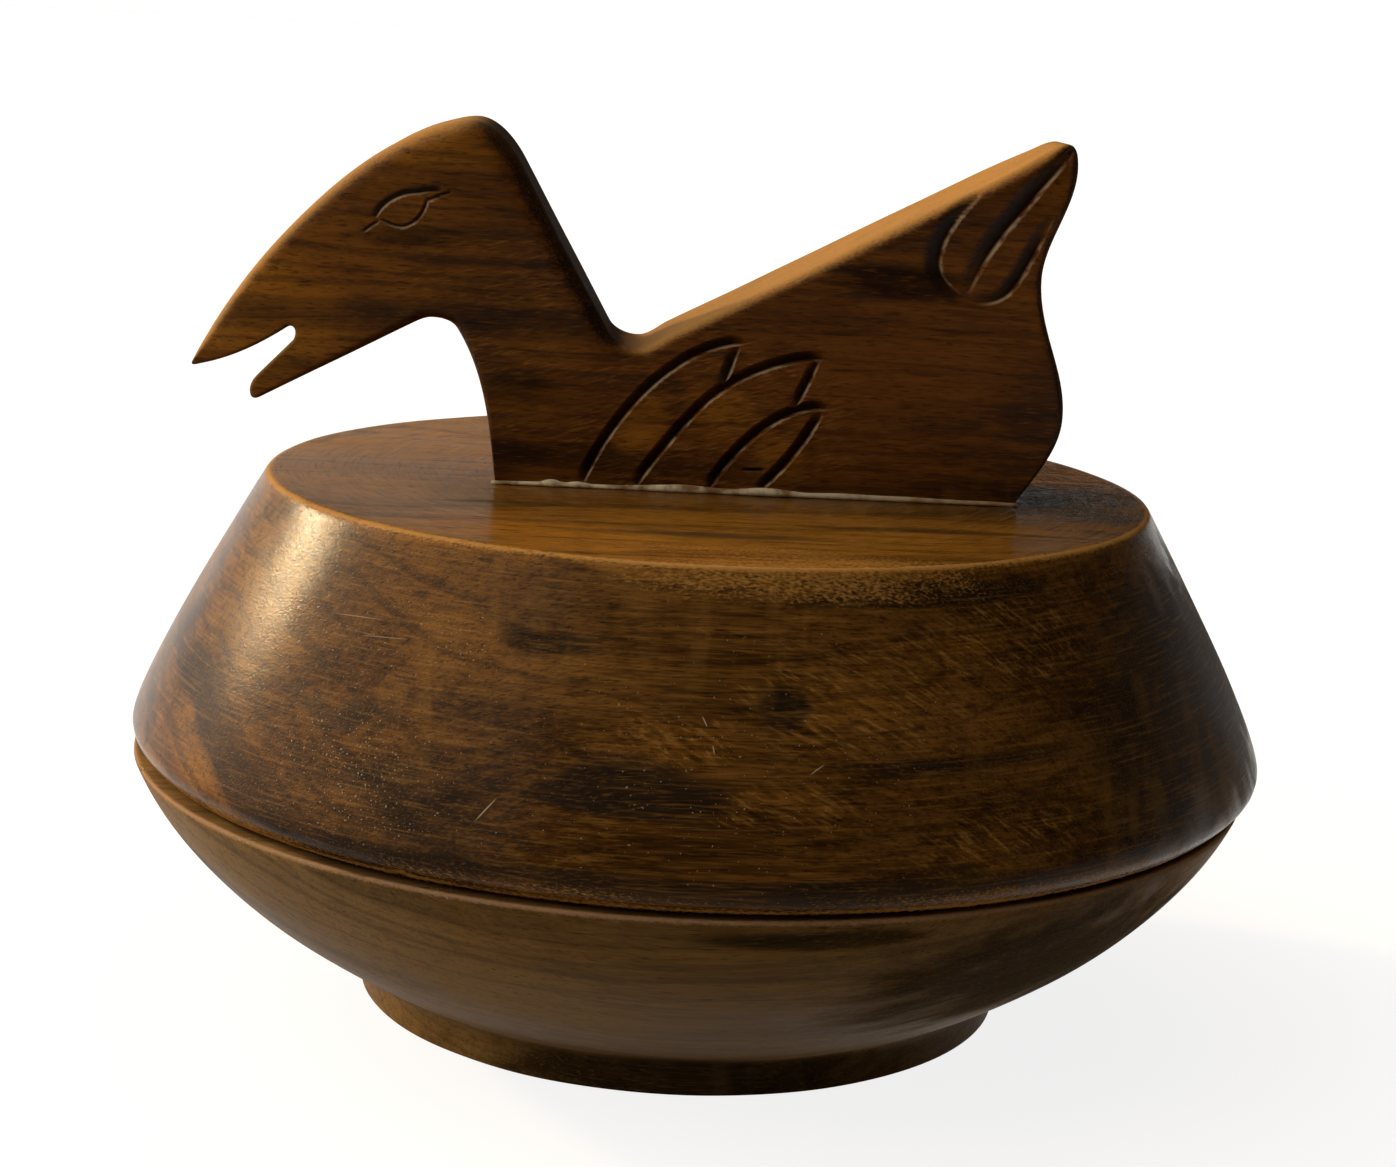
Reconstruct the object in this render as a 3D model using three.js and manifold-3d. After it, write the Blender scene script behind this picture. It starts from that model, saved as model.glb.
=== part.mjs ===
// Lidded wooden bowl with a carved bird on its lid, in millimetres, +Z up.
// The origin is on the bowl's turning axis at the underside of its foot.
// The bird looks along -X and shows its flat carved sides to -Y and +Y.
// The bowl and lid are turned, the bird is sawn from a board, carved and dowelled to the lid.
import * as THREE from 'three';
import { mergeVertices } from 'three/addons/utils/BufferGeometryUtils.js';
import Module from 'manifold-3d';

const wasm = await Module();
wasm.setup();

// Bowl: a low turned bowl on a foot ring with a shallow recess under it.
const FOOT_RADIUS = 72.5;
const FOOT_FLARE = 2;
const FOOT_HEIGHT = 8.4;
const FOOT_RING_WIDTH = 12;
const FOOT_RECESS_DEPTH = 3;
const FOOT_EDGE_ROUND = 1;
const FOOT_WALL_ANGLE = 80;
const BOWL_RADIUS = 123.2;
const BOWL_HEIGHT = 55.5;
const BOWL_RIM_WIDTH = 12;
const BOWL_RIM_ROUND = 1.2;
const BOWL_FLOOR_THICKNESS = 11;
const BOWL_UNDERSIDE_ANGLE = 29;
const BOWL_LIP_ANGLE = 66;

// Lid: a hollow truncated cone whose rounded lower edge is the widest line of the object.
const LID_HEIGHT = 60.2;
const LID_SEAT_INSET = 2.1;
const LID_GIRTH_OVERHANG = 1.8;
const LID_GIRTH_HEIGHT = 5.4;
const LID_TOP_RADIUS = 96.8;
const LID_TOP_THICKNESS = 15.8;
const LID_TOP_EDGE_ROUND = 2.2;
const LID_SIDE_ANGLE = 120.5;
const LID_SIDE_PULL = 0.36;
const LID_EDGE_ANGLE = 40;
const LID_CEILING_RADIUS = 80;
const SPIGOT_DEPTH = 5.3;
const SPIGOT_WIDTH = 5.5;
const SPIGOT_CLEARANCE = 2;
const SPIGOT_FLOOR_GAP = 1;
const SEAT_GAP = 0.3;
// The lid lies a little towards the tail inside its clearance, so the bowl's lip shows at the head end.
const LID_SHIFT = 1.5;

// Bird: reaches are measured from the lid's axis, heights from the lid's flat top.
const BIRD_THICKNESS = 34;
const BEAK_THICKNESS = 24;
const BIRD_SETBACK = -2;
const BIRD_EDGE_ROUND = 2.5;
const NAPE_EDGE_ROUND = 6;
const NAPE_END_EDGE_ROUND = 4.2;
const TIP_EDGE_ROUND = 1.2;
const BASE_EDGE_ROUND = 0.4;
const BASE_TO_TOE = 46.7;
const BASE_TO_HEEL = 65.6;
const TAIL_REACH = 75.1;
const TAIL_HEIGHT = 77.6;
const TAIL_TIP_ROUND = 4.4;
const TAIL_TIP_LENGTH = 5.7;
const TAIL_TIP_DROP = 1.5;
const RUMP_HEIGHT = 19;
const HEEL_ANGLE = 56;
const WAIST_HEIGHT = 48.8;
const WAIST_INSET = 6.8;
const SADDLE_REACH = 17;
const SADDLE_HEIGHT = 29.8;
const SADDLE_ROUND = 6.4;
const SADDLE_RISE = 3.2;
const CROWN_REACH = 54;
const CROWN_HEIGHT = 76.3;
const NAPE_ROUND = 11;
const NAPE_DROP = 9;
const BROW_DROP = 1.4;
const BROW_ANGLE = 196;
const BROW_PULL = 0.27;
const BEAK_REACH = 112.4;
const BEAK_HEIGHT = 22.1;
const BEAK_TIP_ROUND = 1.1;
const BEAK_TIP_ANGLE = 246;
const BEAK_UNDER_ANGLE = 12;
const MOUTH_DEPTH = 21.9;
const MOUTH_HEIGHT = 29.2;
const MOUTH_END_ROUND = 1.4;
const MOUTH_TOP_ANGLE = 35;
const JAW_SETBACK = 12.6;
const JAW_DROP = 4.4;
const JAW_TIP_ROUND = 2.3;
const THROAT_REACH = 60.9;
const THROAT_HEIGHT = 34.4;
const THROAT_ROUND = 5;
const THROAT_DROP = 1.9;
const NECK_ANGLE = -56;
const TOE_ANGLE = -82;

// Two glued dowels hold the bird to the lid, and the glue line keeps the two faces apart.
const GLUE_GAP = 0.3;
const DOWEL_RADIUS = 4;
const DOWEL_CLEARANCE = 0.3;
const DOWEL_IN_LID = 10;
const DOWEL_IN_BIRD = 14;
const DOWEL_END_CHAMFER = 0.8;
const DOWEL_FROM_TOE = 20;
const DOWEL_FROM_HEEL = 22;

// How finely the round shapes are cut into facets.
const TURNED_FACETS = 80;
const CURVE_STEPS = 8;
const SMALL_CURVE_STEPS = 3;
const SMALL_CURVE_LENGTH = 8;
const DOWEL_FACETS = 24;
const EDGE_STEPS = 3;
const WELD_DISTANCE = 1e-4;
// How far a curve runs on in its end directions, as a share of the distance between its ends.
const CURVE_PULL = 0.33;
const HOLLOW_PULL = 0.43;
const TIP_PULL = 0.65;
// The share of the room at a tip that a rounded edge takes, and how fast it widens past it.
const EDGE_FIT = 0.7;
const EDGE_FADE = 0.35;
// The most by which a rounded edge is widened to keep its width round a sharp turn.
const EDGE_STRETCH = 2;

const rimTop = BOWL_HEIGHT;
const rimInnerRadius = BOWL_RADIUS - BOWL_RIM_WIDTH;
const lidSeat = rimTop + SEAT_GAP;
const lidTop = lidSeat + LID_HEIGHT;
const birdBase = lidTop + GLUE_GAP;

// The point at a distance and an angle in degrees from another point.
function offset([x, y], angle, distance) {
  const turn = THREE.MathUtils.degToRad(angle);
  return [x + distance * Math.cos(turn), y + distance * Math.sin(turn)];
}

// Adds a smooth curve to a path, leaving and arriving at the given angles in degrees.
function sweepTo(path, end, leave, arrive, pull = CURVE_PULL) {
  const start = path.currentPoint.toArray();
  const reach = pull * Math.hypot(end[0] - start[0], end[1] - start[1]);
  path.bezierCurveTo(...offset(start, leave, reach), ...offset(end, arrive, -reach), ...end);
}

// Keeps only a geometry's positions and welds the vertices that coincide.
function weld(geometry) {
  geometry.deleteAttribute('normal');
  geometry.deleteAttribute('uv');
  return mergeVertices(geometry, WELD_DISTANCE);
}

// A path's points, with few on its straight and short stretches and more on its long curves.
function sectionPoints(path) {
  const stretches = path.curves.map((curve) => {
    const steps = curve.getLength() < SMALL_CURVE_LENGTH ? SMALL_CURVE_STEPS : CURVE_STEPS;
    return curve.getPoints(curve.isLineCurve ? 1 : steps).slice(1);
  });
  return [path.curves[0].getPoint(0), ...stretches.flat()];
}

// Turns a path of radius against height about the Z axis into a closed solid.
function turned(path, facets = TURNED_FACETS) {
  const geometry = new THREE.LatheGeometry(sectionPoints(path), facets);
  return weld(geometry.rotateX(Math.PI / 2));
}

function toSolid(geometry) {
  return new wasm.Manifold(new wasm.Mesh({
    numProp: 3,
    vertProperties: new Float32Array(geometry.attributes.position.array),
    triVerts: new Uint32Array(geometry.index.array),
  }));
}

function toGeometry(solid) {
  const { vertProperties, triVerts } = solid.getMesh();
  const geometry = new THREE.BufferGeometry();
  geometry.setAttribute('position', new THREE.BufferAttribute(vertProperties, 3));
  geometry.setIndex(new THREE.BufferAttribute(triVerts, 1));
  return geometry;
}

// Bowl section, from the recess under the foot, up the outside, over the rim and down the inside.
function makeBowl() {
  const recessRadius = FOOT_RADIUS - FOOT_RING_WIDTH;
  const floorTop = FOOT_RECESS_DEPTH + BOWL_FLOOR_THICKNESS;
  const path = new THREE.Path();
  path.moveTo(0, FOOT_RECESS_DEPTH);
  path.lineTo(recessRadius - FOOT_RECESS_DEPTH, FOOT_RECESS_DEPTH);
  path.lineTo(recessRadius, 0);
  path.lineTo(FOOT_RADIUS - FOOT_EDGE_ROUND, 0);
  path.quadraticCurveTo(FOOT_RADIUS, 0, FOOT_RADIUS, FOOT_EDGE_ROUND);
  sweepTo(path, [FOOT_RADIUS + FOOT_FLARE, FOOT_HEIGHT], FOOT_WALL_ANGLE, BOWL_UNDERSIDE_ANGLE);
  sweepTo(path, [BOWL_RADIUS, rimTop - BOWL_RIM_ROUND], BOWL_UNDERSIDE_ANGLE, BOWL_LIP_ANGLE);
  path.quadraticCurveTo(BOWL_RADIUS, rimTop, BOWL_RADIUS - BOWL_RIM_ROUND, rimTop);
  path.lineTo(rimInnerRadius, rimTop);
  path.lineTo(rimInnerRadius, rimTop - SPIGOT_DEPTH - SPIGOT_FLOOR_GAP);
  sweepTo(path, [0, floorTop], BOWL_LIP_ANGLE - 180, 180, HOLLOW_PULL);
  return turned(path);
}

// Lid section, from the ceiling of its hollow, down inside, round the spigot and up the outside.
function makeLid() {
  const girthRadius = BOWL_RADIUS + LID_GIRTH_OVERHANG;
  const girthHeight = lidSeat + LID_GIRTH_HEIGHT;
  const seatRadius = BOWL_RADIUS - LID_SEAT_INSET;
  const spigotRadius = rimInnerRadius - SPIGOT_CLEARANCE;
  const spigotFoot = lidSeat - SPIGOT_DEPTH;
  const hollowRadius = spigotRadius - SPIGOT_WIDTH;
  const ceiling = lidTop - LID_TOP_THICKNESS;
  const topCorner = [LID_TOP_RADIUS, lidTop];
  const sideTop = offset(topCorner, LID_SIDE_ANGLE, -LID_TOP_EDGE_ROUND);
  const path = new THREE.Path();
  path.moveTo(0, ceiling);
  path.lineTo(LID_CEILING_RADIUS, ceiling);
  sweepTo(path, [hollowRadius, spigotFoot], 0, -90, HOLLOW_PULL);
  path.lineTo(spigotRadius, spigotFoot);
  path.lineTo(spigotRadius, lidSeat);
  path.lineTo(seatRadius, lidSeat);
  sweepTo(path, [girthRadius, girthHeight], LID_EDGE_ANGLE, 90);
  path.bezierCurveTo(
    girthRadius, girthHeight + LID_GIRTH_HEIGHT,
    ...offset(sideTop, LID_SIDE_ANGLE, -LID_SIDE_PULL * LID_HEIGHT), ...sideTop);
  path.quadraticCurveTo(...topCorner, LID_TOP_RADIUS - LID_TOP_EDGE_ROUND, lidTop);
  path.lineTo(0, lidTop);
  return turned(path);
}

// An outline drawn point by point, counterclockwise, as seen by someone facing +Y.
// Each point holds its reach, its height and the radius of the rounded edge there.
class Outline {
  constructor([x, height], edge) {
    this.points = [new THREE.Vector3(x, height, edge)];
  }

  // Adds a straight stretch and says the index of its end.
  lineTo([x, height], edge) {
    this.points.push(new THREE.Vector3(x, height, edge));
    return this.points.length - 1;
  }

  // Adds a curve that leaves and arrives at the given angles, and says the index of its end.
  curveTo(end, leave, arrive, edge, steps = CURVE_STEPS, pull = CURVE_PULL) {
    const start = this.points.at(-1);
    const path = new THREE.Path();
    path.moveTo(start.x, start.y);
    sweepTo(path, end, leave, arrive, pull);
    path.getPoints(steps).slice(1).forEach((point, i) => {
      const local = THREE.MathUtils.lerp(start.z, edge, (i + 1) / steps);
      this.points.push(new THREE.Vector3(point.x, point.y, local));
    });
    return this.points.length - 1;
  }
}

// The direction in degrees from one point to another.
function heading(from, to) {
  return THREE.MathUtils.radToDeg(Math.atan2(to[1] - from[1], to[0] - from[0]));
}

// The bird from the heel of its base, up the tail, over the saddle, head and beak to the toe.
function drawBird() {
  const round = BIRD_EDGE_ROUND;
  const heel = [BASE_TO_HEEL, 0];
  const rump = [TAIL_REACH, RUMP_HEIGHT];
  const waist = [TAIL_REACH - WAIST_INSET, WAIST_HEIGHT];
  const tailBack = [TAIL_REACH, TAIL_HEIGHT - TAIL_TIP_ROUND];
  const tailTop = [TAIL_REACH - TAIL_TIP_LENGTH, TAIL_HEIGHT - TAIL_TIP_DROP];
  const saddle = [-SADDLE_REACH, SADDLE_HEIGHT];
  const saddleTail = [saddle[0] + SADDLE_ROUND, SADDLE_HEIGHT + SADDLE_RISE];
  const saddleNape = [saddle[0] - SADDLE_ROUND, SADDLE_HEIGHT + SADDLE_RISE];
  const napeTop = [-CROWN_REACH + NAPE_ROUND, CROWN_HEIGHT - NAPE_DROP];
  const crown = [-CROWN_REACH, CROWN_HEIGHT];
  const brow = [-THROAT_REACH, CROWN_HEIGHT - BROW_DROP];
  const beakTop = [-BEAK_REACH, BEAK_HEIGHT + BEAK_TIP_ROUND / 2];
  const beakUnder = [-BEAK_REACH + BEAK_TIP_ROUND, BEAK_HEIGHT - BEAK_TIP_ROUND / 2];
  const mouthEnd = -BEAK_REACH + MOUTH_DEPTH;
  const mouthTop = [mouthEnd - MOUTH_END_ROUND, MOUTH_HEIGHT + MOUTH_END_ROUND];
  const mouthBottom = [mouthEnd - MOUTH_END_ROUND / 2, MOUTH_HEIGHT - MOUTH_END_ROUND];
  const jawTip = [-BEAK_REACH + JAW_SETBACK, BEAK_HEIGHT - JAW_DROP];
  const jawTop = [jawTip[0] + JAW_TIP_ROUND / 2, jawTip[1] + JAW_TIP_ROUND];
  const jawUnder = [jawTip[0] + JAW_TIP_ROUND, jawTip[1] - JAW_TIP_ROUND];
  const throat = [-THROAT_REACH, THROAT_HEIGHT];
  const throatJaw = [throat[0] - THROAT_ROUND, THROAT_HEIGHT - THROAT_DROP];
  const throatNeck = [throat[0] + THROAT_ROUND, THROAT_HEIGHT - THROAT_DROP];
  const toe = [-BASE_TO_TOE, 0];
  const tailSlope = heading(tailTop, saddleTail);
  const napeSlope = heading(saddleNape, napeTop);
  const mouthSlope = heading(mouthBottom, jawTop);
  const jawSlope = heading(jawUnder, throatJaw);

  const outline = new Outline(heel, BASE_EDGE_ROUND);
  outline.curveTo(rump, HEEL_ANGLE, 90, round);
  outline.curveTo(waist, 90, 90, round);
  outline.curveTo(tailBack, 90, 90, round);
  outline.curveTo(tailTop, 90, tailSlope, round, CURVE_STEPS, TIP_PULL);
  outline.lineTo(saddleTail, round);
  outline.curveTo(saddle, tailSlope, 180, round, SMALL_CURVE_STEPS);
  outline.curveTo(saddleNape, 180, napeSlope, NAPE_END_EDGE_ROUND, SMALL_CURVE_STEPS);
  outline.lineTo(napeTop, NAPE_EDGE_ROUND);
  outline.curveTo(crown, napeSlope, 180, NAPE_END_EDGE_ROUND);
  const browIndex = outline.curveTo(brow, 180, BROW_ANGLE, round, SMALL_CURVE_STEPS);
  outline.curveTo(beakTop, BROW_ANGLE, BEAK_TIP_ANGLE, TIP_EDGE_ROUND, 2 * CURVE_STEPS, BROW_PULL);
  outline.curveTo(
    beakUnder, BEAK_TIP_ANGLE, BEAK_UNDER_ANGLE, TIP_EDGE_ROUND, SMALL_CURVE_STEPS, TIP_PULL);
  outline.curveTo(mouthTop, BEAK_UNDER_ANGLE, MOUTH_TOP_ANGLE, TIP_EDGE_ROUND);
  outline.curveTo(
    mouthBottom, MOUTH_TOP_ANGLE, mouthSlope, TIP_EDGE_ROUND, SMALL_CURVE_STEPS, TIP_PULL);
  outline.lineTo(jawTop, TIP_EDGE_ROUND);
  outline.curveTo(jawUnder, mouthSlope, jawSlope, TIP_EDGE_ROUND, SMALL_CURVE_STEPS, TIP_PULL);
  outline.lineTo(throatJaw, round);
  const throatIndex = outline.curveTo(throat, jawSlope, 0, round, SMALL_CURVE_STEPS);
  outline.curveTo(throatNeck, 0, NECK_ANGLE, round, SMALL_CURVE_STEPS);
  outline.curveTo(toe, NECK_ANGLE, TOE_ANGLE, BASE_EDGE_ROUND);
  return { points: outline.points, browIndex, throatIndex };
}

// Half the angle by which an outline turns left at each point.
function halfTurns(points) {
  return points.map((point, i) => {
    const arriving = heading(points.at(i - 1).toArray(), point.toArray());
    const leaving = heading(point.toArray(), points[(i + 1) % points.length].toArray());
    const turn = THREE.MathUtils.euclideanModulo(leaving - arriving + 180, 360) - 180;
    return THREE.MathUtils.degToRad(turn / 2);
  });
}

// Draws each rounded edge in where the outline is too tight or too narrow a tip to take it.
function fitEdges(points) {
  const bends = halfTurns(points).map((bend) => Math.tan(bend));
  const count = points.length;
  const spans = points.map((point, i) => {
    const next = points[(i + 1) % count];
    return Math.hypot(next.x - point.x, next.y - point.y);
  });
  const fitted = points.map((point, i) => {
    const room = [(i + count - 1) % count, i].map((k) => {
      const bend = bends[k] + bends[(k + 1) % count];
      return bend > 0 ? EDGE_FIT * spans[k] / bend : Infinity;
    });
    return Math.min(point.z, ...room);
  });
  for (let pass = 0; pass < 2 * count; pass++) {
    const i = pass % count;
    const j = count - 1 - i;
    fitted[(i + 1) % count] = Math.min(fitted[(i + 1) % count], fitted[i] + EDGE_FADE * spans[i]);
    fitted[j] = Math.min(fitted[j], fitted[(j + 1) % count] + EDGE_FADE * spans[j]);
  }
  return fitted;
}

// How far each outline point moves to lie one millimetre further in from both its neighbours' edges.
function inwardSteps(points) {
  const bends = halfTurns(points);
  return points.map((point, i) => {
    const arriving = THREE.MathUtils.degToRad(heading(points.at(i - 1).toArray(), point.toArray()));
    const inward = arriving + bends[i] + Math.PI / 2;
    const stretch = Math.min(1 / Math.cos(bends[i]), EDGE_STRETCH);
    return new THREE.Vector2(Math.cos(inward), Math.sin(inward)).multiplyScalar(stretch);
  });
}

// The board's half thickness, which shrinks from the throat to the tip of the beak.
function halfThickness(x) {
  const forward = THREE.MathUtils.mapLinear(x, -THROAT_REACH, -BEAK_REACH, 0, 1);
  return THREE.MathUtils.lerp(BIRD_THICKNESS, BEAK_THICKNESS, THREE.MathUtils.clamp(forward, 0, 1)) / 2;
}

// The bird's board: two flat sides joined by the outline's edge, which is rounded over on both sides.
function makeBirdBoard() {
  const { points, browIndex, throatIndex } = drawBird();
  const inward = inwardSteps(points);
  const edges = fitEdges(points);
  const count = points.length;
  const positions = [];
  const indices = [];
  const addRing = (side, step) => {
    const bend = Math.PI / 2 * step / EDGE_STEPS;
    points.forEach((point, i) => {
      const setback = edges[i] * (1 - Math.cos(bend));
      const depth = halfThickness(point.x) - edges[i] * (1 - Math.sin(bend));
      positions.push(
        point.x + inward[i].x * setback, BIRD_SETBACK + side * depth, point.y + inward[i].y * setback);
    });
  };
  for (let step = EDGE_STEPS; step >= 0; step--) addRing(-1, step);
  for (let step = 0; step <= EDGE_STEPS; step++) addRing(1, step);
  const rings = 2 * EDGE_STEPS + 2;
  for (let r = 0; r < rings - 1; r++) {
    for (let i = 0; i < count; i++) {
      const next = (i + 1) % count;
      const [a, b, c, d] = [r * count + i, (r + 1) * count + i, (r + 1) * count + next, r * count + next];
      indices.push(a, b, c, a, c, d);
    }
  }
  // The head and the body are filled in apart, so that the crease between them is straight.
  const all = points.map((_, i) => i);
  const head = all.slice(browIndex, throatIndex + 1);
  const body = all.slice(throatIndex).concat(all.slice(0, browIndex + 1));
  for (const [ringStart, flip] of [[0, false], [(rings - 1) * count, true]]) {
    for (const loop of [head, body]) {
      const flat = loop.map((i) => {
        const start = 3 * (ringStart + i);
        return new THREE.Vector2(positions[start], positions[start + 2]);
      });
      for (const [a, b, c] of THREE.ShapeUtils.triangulateShape(flat, [])) {
        const corners = [loop[a], loop[b], loop[c]].map((i) => ringStart + i);
        indices.push(...(flip ? corners.reverse() : corners));
      }
    }
  }
  const geometry = new THREE.BufferGeometry();
  geometry.setAttribute('position', new THREE.Float32BufferAttribute(positions, 3));
  geometry.setIndex(indices);
  return geometry;
}

// A dowel, or with a clearance the blind socket that takes it, standing on z = 0.
function makeDowel(length, clearance = 0) {
  const radius = DOWEL_RADIUS + clearance;
  const path = new THREE.Path();
  path.moveTo(0, 0);
  path.lineTo(radius - DOWEL_END_CHAMFER, 0);
  path.lineTo(radius, DOWEL_END_CHAMFER);
  path.lineTo(radius, length - DOWEL_END_CHAMFER);
  path.lineTo(radius - DOWEL_END_CHAMFER, length);
  path.lineTo(0, length);
  return turned(path, DOWEL_FACETS);
}

// Where the dowels stand, in the lid's frame: one near the toe of the base, one near its heel.
const dowelPlaces = {
  dowel_front: [-BASE_TO_TOE + DOWEL_FROM_TOE, BIRD_SETBACK, birdBase - GLUE_GAP - DOWEL_IN_LID],
  dowel_rear: [BASE_TO_HEEL - DOWEL_FROM_HEEL, BIRD_SETBACK, birdBase - GLUE_GAP - DOWEL_IN_LID],
};
const socketLength = DOWEL_IN_LID + GLUE_GAP + DOWEL_IN_BIRD;

// Bores both dowel sockets in a solid that is placed in the lid's frame.
function boreSockets(geometry) {
  const socket = toSolid(makeDowel(socketLength, DOWEL_CLEARANCE));
  const bored = Object.values(dowelPlaces).reduce(
    (solid, place) => solid.subtract(socket.translate(place)), toSolid(geometry));
  return toGeometry(bored);
}

function wood(color, roughness) {
  return new THREE.MeshStandardMaterial({ color, roughness, metalness: 0, flatShading: true });
}

function addPiece(group, name, geometry, material) {
  const mesh = new THREE.Mesh(geometry, material);
  mesh.name = name;
  group.add(mesh);
  return mesh;
}

const lidWood = wood('#5b3d20', 0.35);
const birdWood = wood('#5d3b1d', 0.4);
const dowelWood = wood('#b48a58', 0.7);

const bowl = new THREE.Group();
addPiece(bowl, 'bowl', makeBowl(), wood('#564330', 0.4));

const lid = new THREE.Group();
lid.position.x = LID_SHIFT;
addPiece(lid, 'lid', boreSockets(makeLid()), lidWood);
addPiece(lid, 'bird_handle', boreSockets(makeBirdBoard().translate(0, 0, birdBase)), birdWood);
for (const [name, place] of Object.entries(dowelPlaces)) {
  const dowel = addPiece(lid, name, makeDowel(socketLength - 2 * DOWEL_CLEARANCE), dowelWood);
  dowel.position.set(place[0], place[1], place[2] + DOWEL_CLEARANCE);
}

const lidded = new THREE.Group();
lidded.add(bowl, lid);
export default lidded;
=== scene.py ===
"""A lidded bowl of dark carved wood with a bird for its handle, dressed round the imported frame.

Lengths are in metres in the frame's own axes: the bird looks along -X, the photograph shows its -Y
side and +Z is up. Sizes are written as millimetres times MM. A plane point is (reach along X, height).
"""

import logging
import math
from collections.abc import Callable
from dataclasses import dataclass
from enum import Enum

import bpy
import numpy as np
from mathutils import Matrix, Vector, noise
from mathutils.geometry import delaunay_2d_cdt


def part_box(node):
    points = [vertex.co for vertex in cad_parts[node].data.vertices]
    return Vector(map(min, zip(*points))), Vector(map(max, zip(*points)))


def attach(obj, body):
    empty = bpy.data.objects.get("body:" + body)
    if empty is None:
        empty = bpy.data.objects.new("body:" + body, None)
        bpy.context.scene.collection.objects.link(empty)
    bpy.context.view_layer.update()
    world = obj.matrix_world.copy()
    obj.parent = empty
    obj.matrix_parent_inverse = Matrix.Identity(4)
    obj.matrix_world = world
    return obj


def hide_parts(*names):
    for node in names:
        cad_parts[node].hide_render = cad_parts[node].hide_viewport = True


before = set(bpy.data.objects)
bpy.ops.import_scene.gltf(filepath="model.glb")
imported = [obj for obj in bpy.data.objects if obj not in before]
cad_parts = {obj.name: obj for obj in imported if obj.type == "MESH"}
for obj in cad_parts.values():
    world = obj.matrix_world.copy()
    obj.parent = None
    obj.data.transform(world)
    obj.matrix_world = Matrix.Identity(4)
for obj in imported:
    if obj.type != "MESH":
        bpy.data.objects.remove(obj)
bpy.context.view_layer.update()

MM = 0.001
LOG = logging.getLogger("lidded_bowl")
# How far a curve runs on in its end directions, as a share of the distance between its ends.
CURVE_PULL = 0.33
HOLLOW_PULL = 0.43
TIP_PULL = 0.65

Plane = tuple[float, float]
Triple = tuple[float, float, float]
# A ring of plane points, how far each lies across the board, and how much the ring faces its side.
Ring = tuple[np.ndarray, np.ndarray, float]
Source = bpy.types.Node | bpy.types.NodeSocket

# How a node joins numbers or places, and how a mapping node undoes a size and a turn.
ADD = {"operation": "ADD"}
SUBTRACT = {"operation": "SUBTRACT"}
MULTIPLY = {"operation": "MULTIPLY"}
MULTIPLY_ADD = {"operation": "MULTIPLY_ADD"}
LARGER = {"operation": "MAXIMUM"}
LENGTH = {"operation": "LENGTH"}
TEXTURE = {"vector_type": "TEXTURE"}
# The middle of what a noise texture gives.
NOISE_MIDDLE = 0.5
# The numbers that the meshes carry at each point for the wood's finish. Some of them paint light and
# shade: in the gouge strokes the cut number is painted shade and the wall number a painted highlight, and
# a few spots and edges in the others are painted too.
STORED = ("worn", "rub", "stain_and_shade", "painted_back_shade", "golden", "curl", "dust", "cut", "wall")


class Slot(Enum):
    """The record's material slots of the new pieces; nothing here reads them."""

    BOWL = "bowl_wood"
    LID = "lid_wood"
    BIRD = "bird_wood"


def linear(hex_colour: str) -> tuple[float, float, float, float]:
    """Turns an sRGB hex colour into the linear one that a shader takes.

    Args:
        hex_colour: six hex digits after a hash sign.

    Returns:
        Red, green, blue and an alpha of 1.
    """
    parts = [int(hex_colour[i : i + 2], 16) / 255 for i in (1, 3, 5)]
    red, green, blue = (c / 12.92 if c <= 0.04045 else ((c + 0.055) / 1.055) ** 2.4 for c in parts)
    return red, green, blue, 1.0


def add_node(tree: bpy.types.NodeTree, kind: str, settings: dict, inputs: dict) -> bpy.types.Node:
    """Adds a shader node with its settings and links.

    Args:
        tree: the node tree that gets it.
        kind: Blender's type name for the node.
        settings: its properties.
        inputs: by a socket's name or place, a value, a node or a node's output.

    Returns:
        The new node.
    """
    node = tree.nodes.new(kind)
    for key, value in settings.items():
        setattr(node, key, value)
    sockets = [socket for socket in node.inputs if socket.enabled]
    for key, value in inputs.items():
        socket = sockets[key] if isinstance(key, int) else next(s for s in sockets if s.name == key)
        if isinstance(value, bpy.types.Node):
            value = first_output(value)
        if isinstance(value, bpy.types.NodeSocket):
            tree.links.new(value, socket)
        else:
            socket.default_value = value
    return node


def first_output(node: bpy.types.Node) -> bpy.types.NodeSocket:
    """The output of a node that its settings leave open."""
    return next(output for output in node.outputs if output.enabled)


@dataclass(frozen=True)
class Spot:
    """A place in the wood that differs from the rest, such as a dark mineral streak, a golden flame, or a
    spot of painted shade or painted light.

    Its centre is given in millimetres in the frame, with how far it reaches along each axis.
    """

    centre: Triple
    reach: Triple
    share: float = 1.0

    def spread(self, places: np.ndarray) -> np.ndarray:
        """How strong it is at places in metres, one a row: full at its centre, 0 from its reach on."""
        away = (places / MM - np.array(self.centre)) / np.array(self.reach)
        return self.share * np.clip(1.0 - (away**2).sum(axis=1), 0.0, 1.0)


def paint(mesh: bpy.types.Mesh, name: str, values: np.ndarray) -> None:
    """Stores one number for each point of a mesh, for a finish to read."""
    attribute = mesh.attributes.new(name, "FLOAT", "POINT")
    attribute.data.foreach_set("value", np.asarray(values, np.float32))


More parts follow.
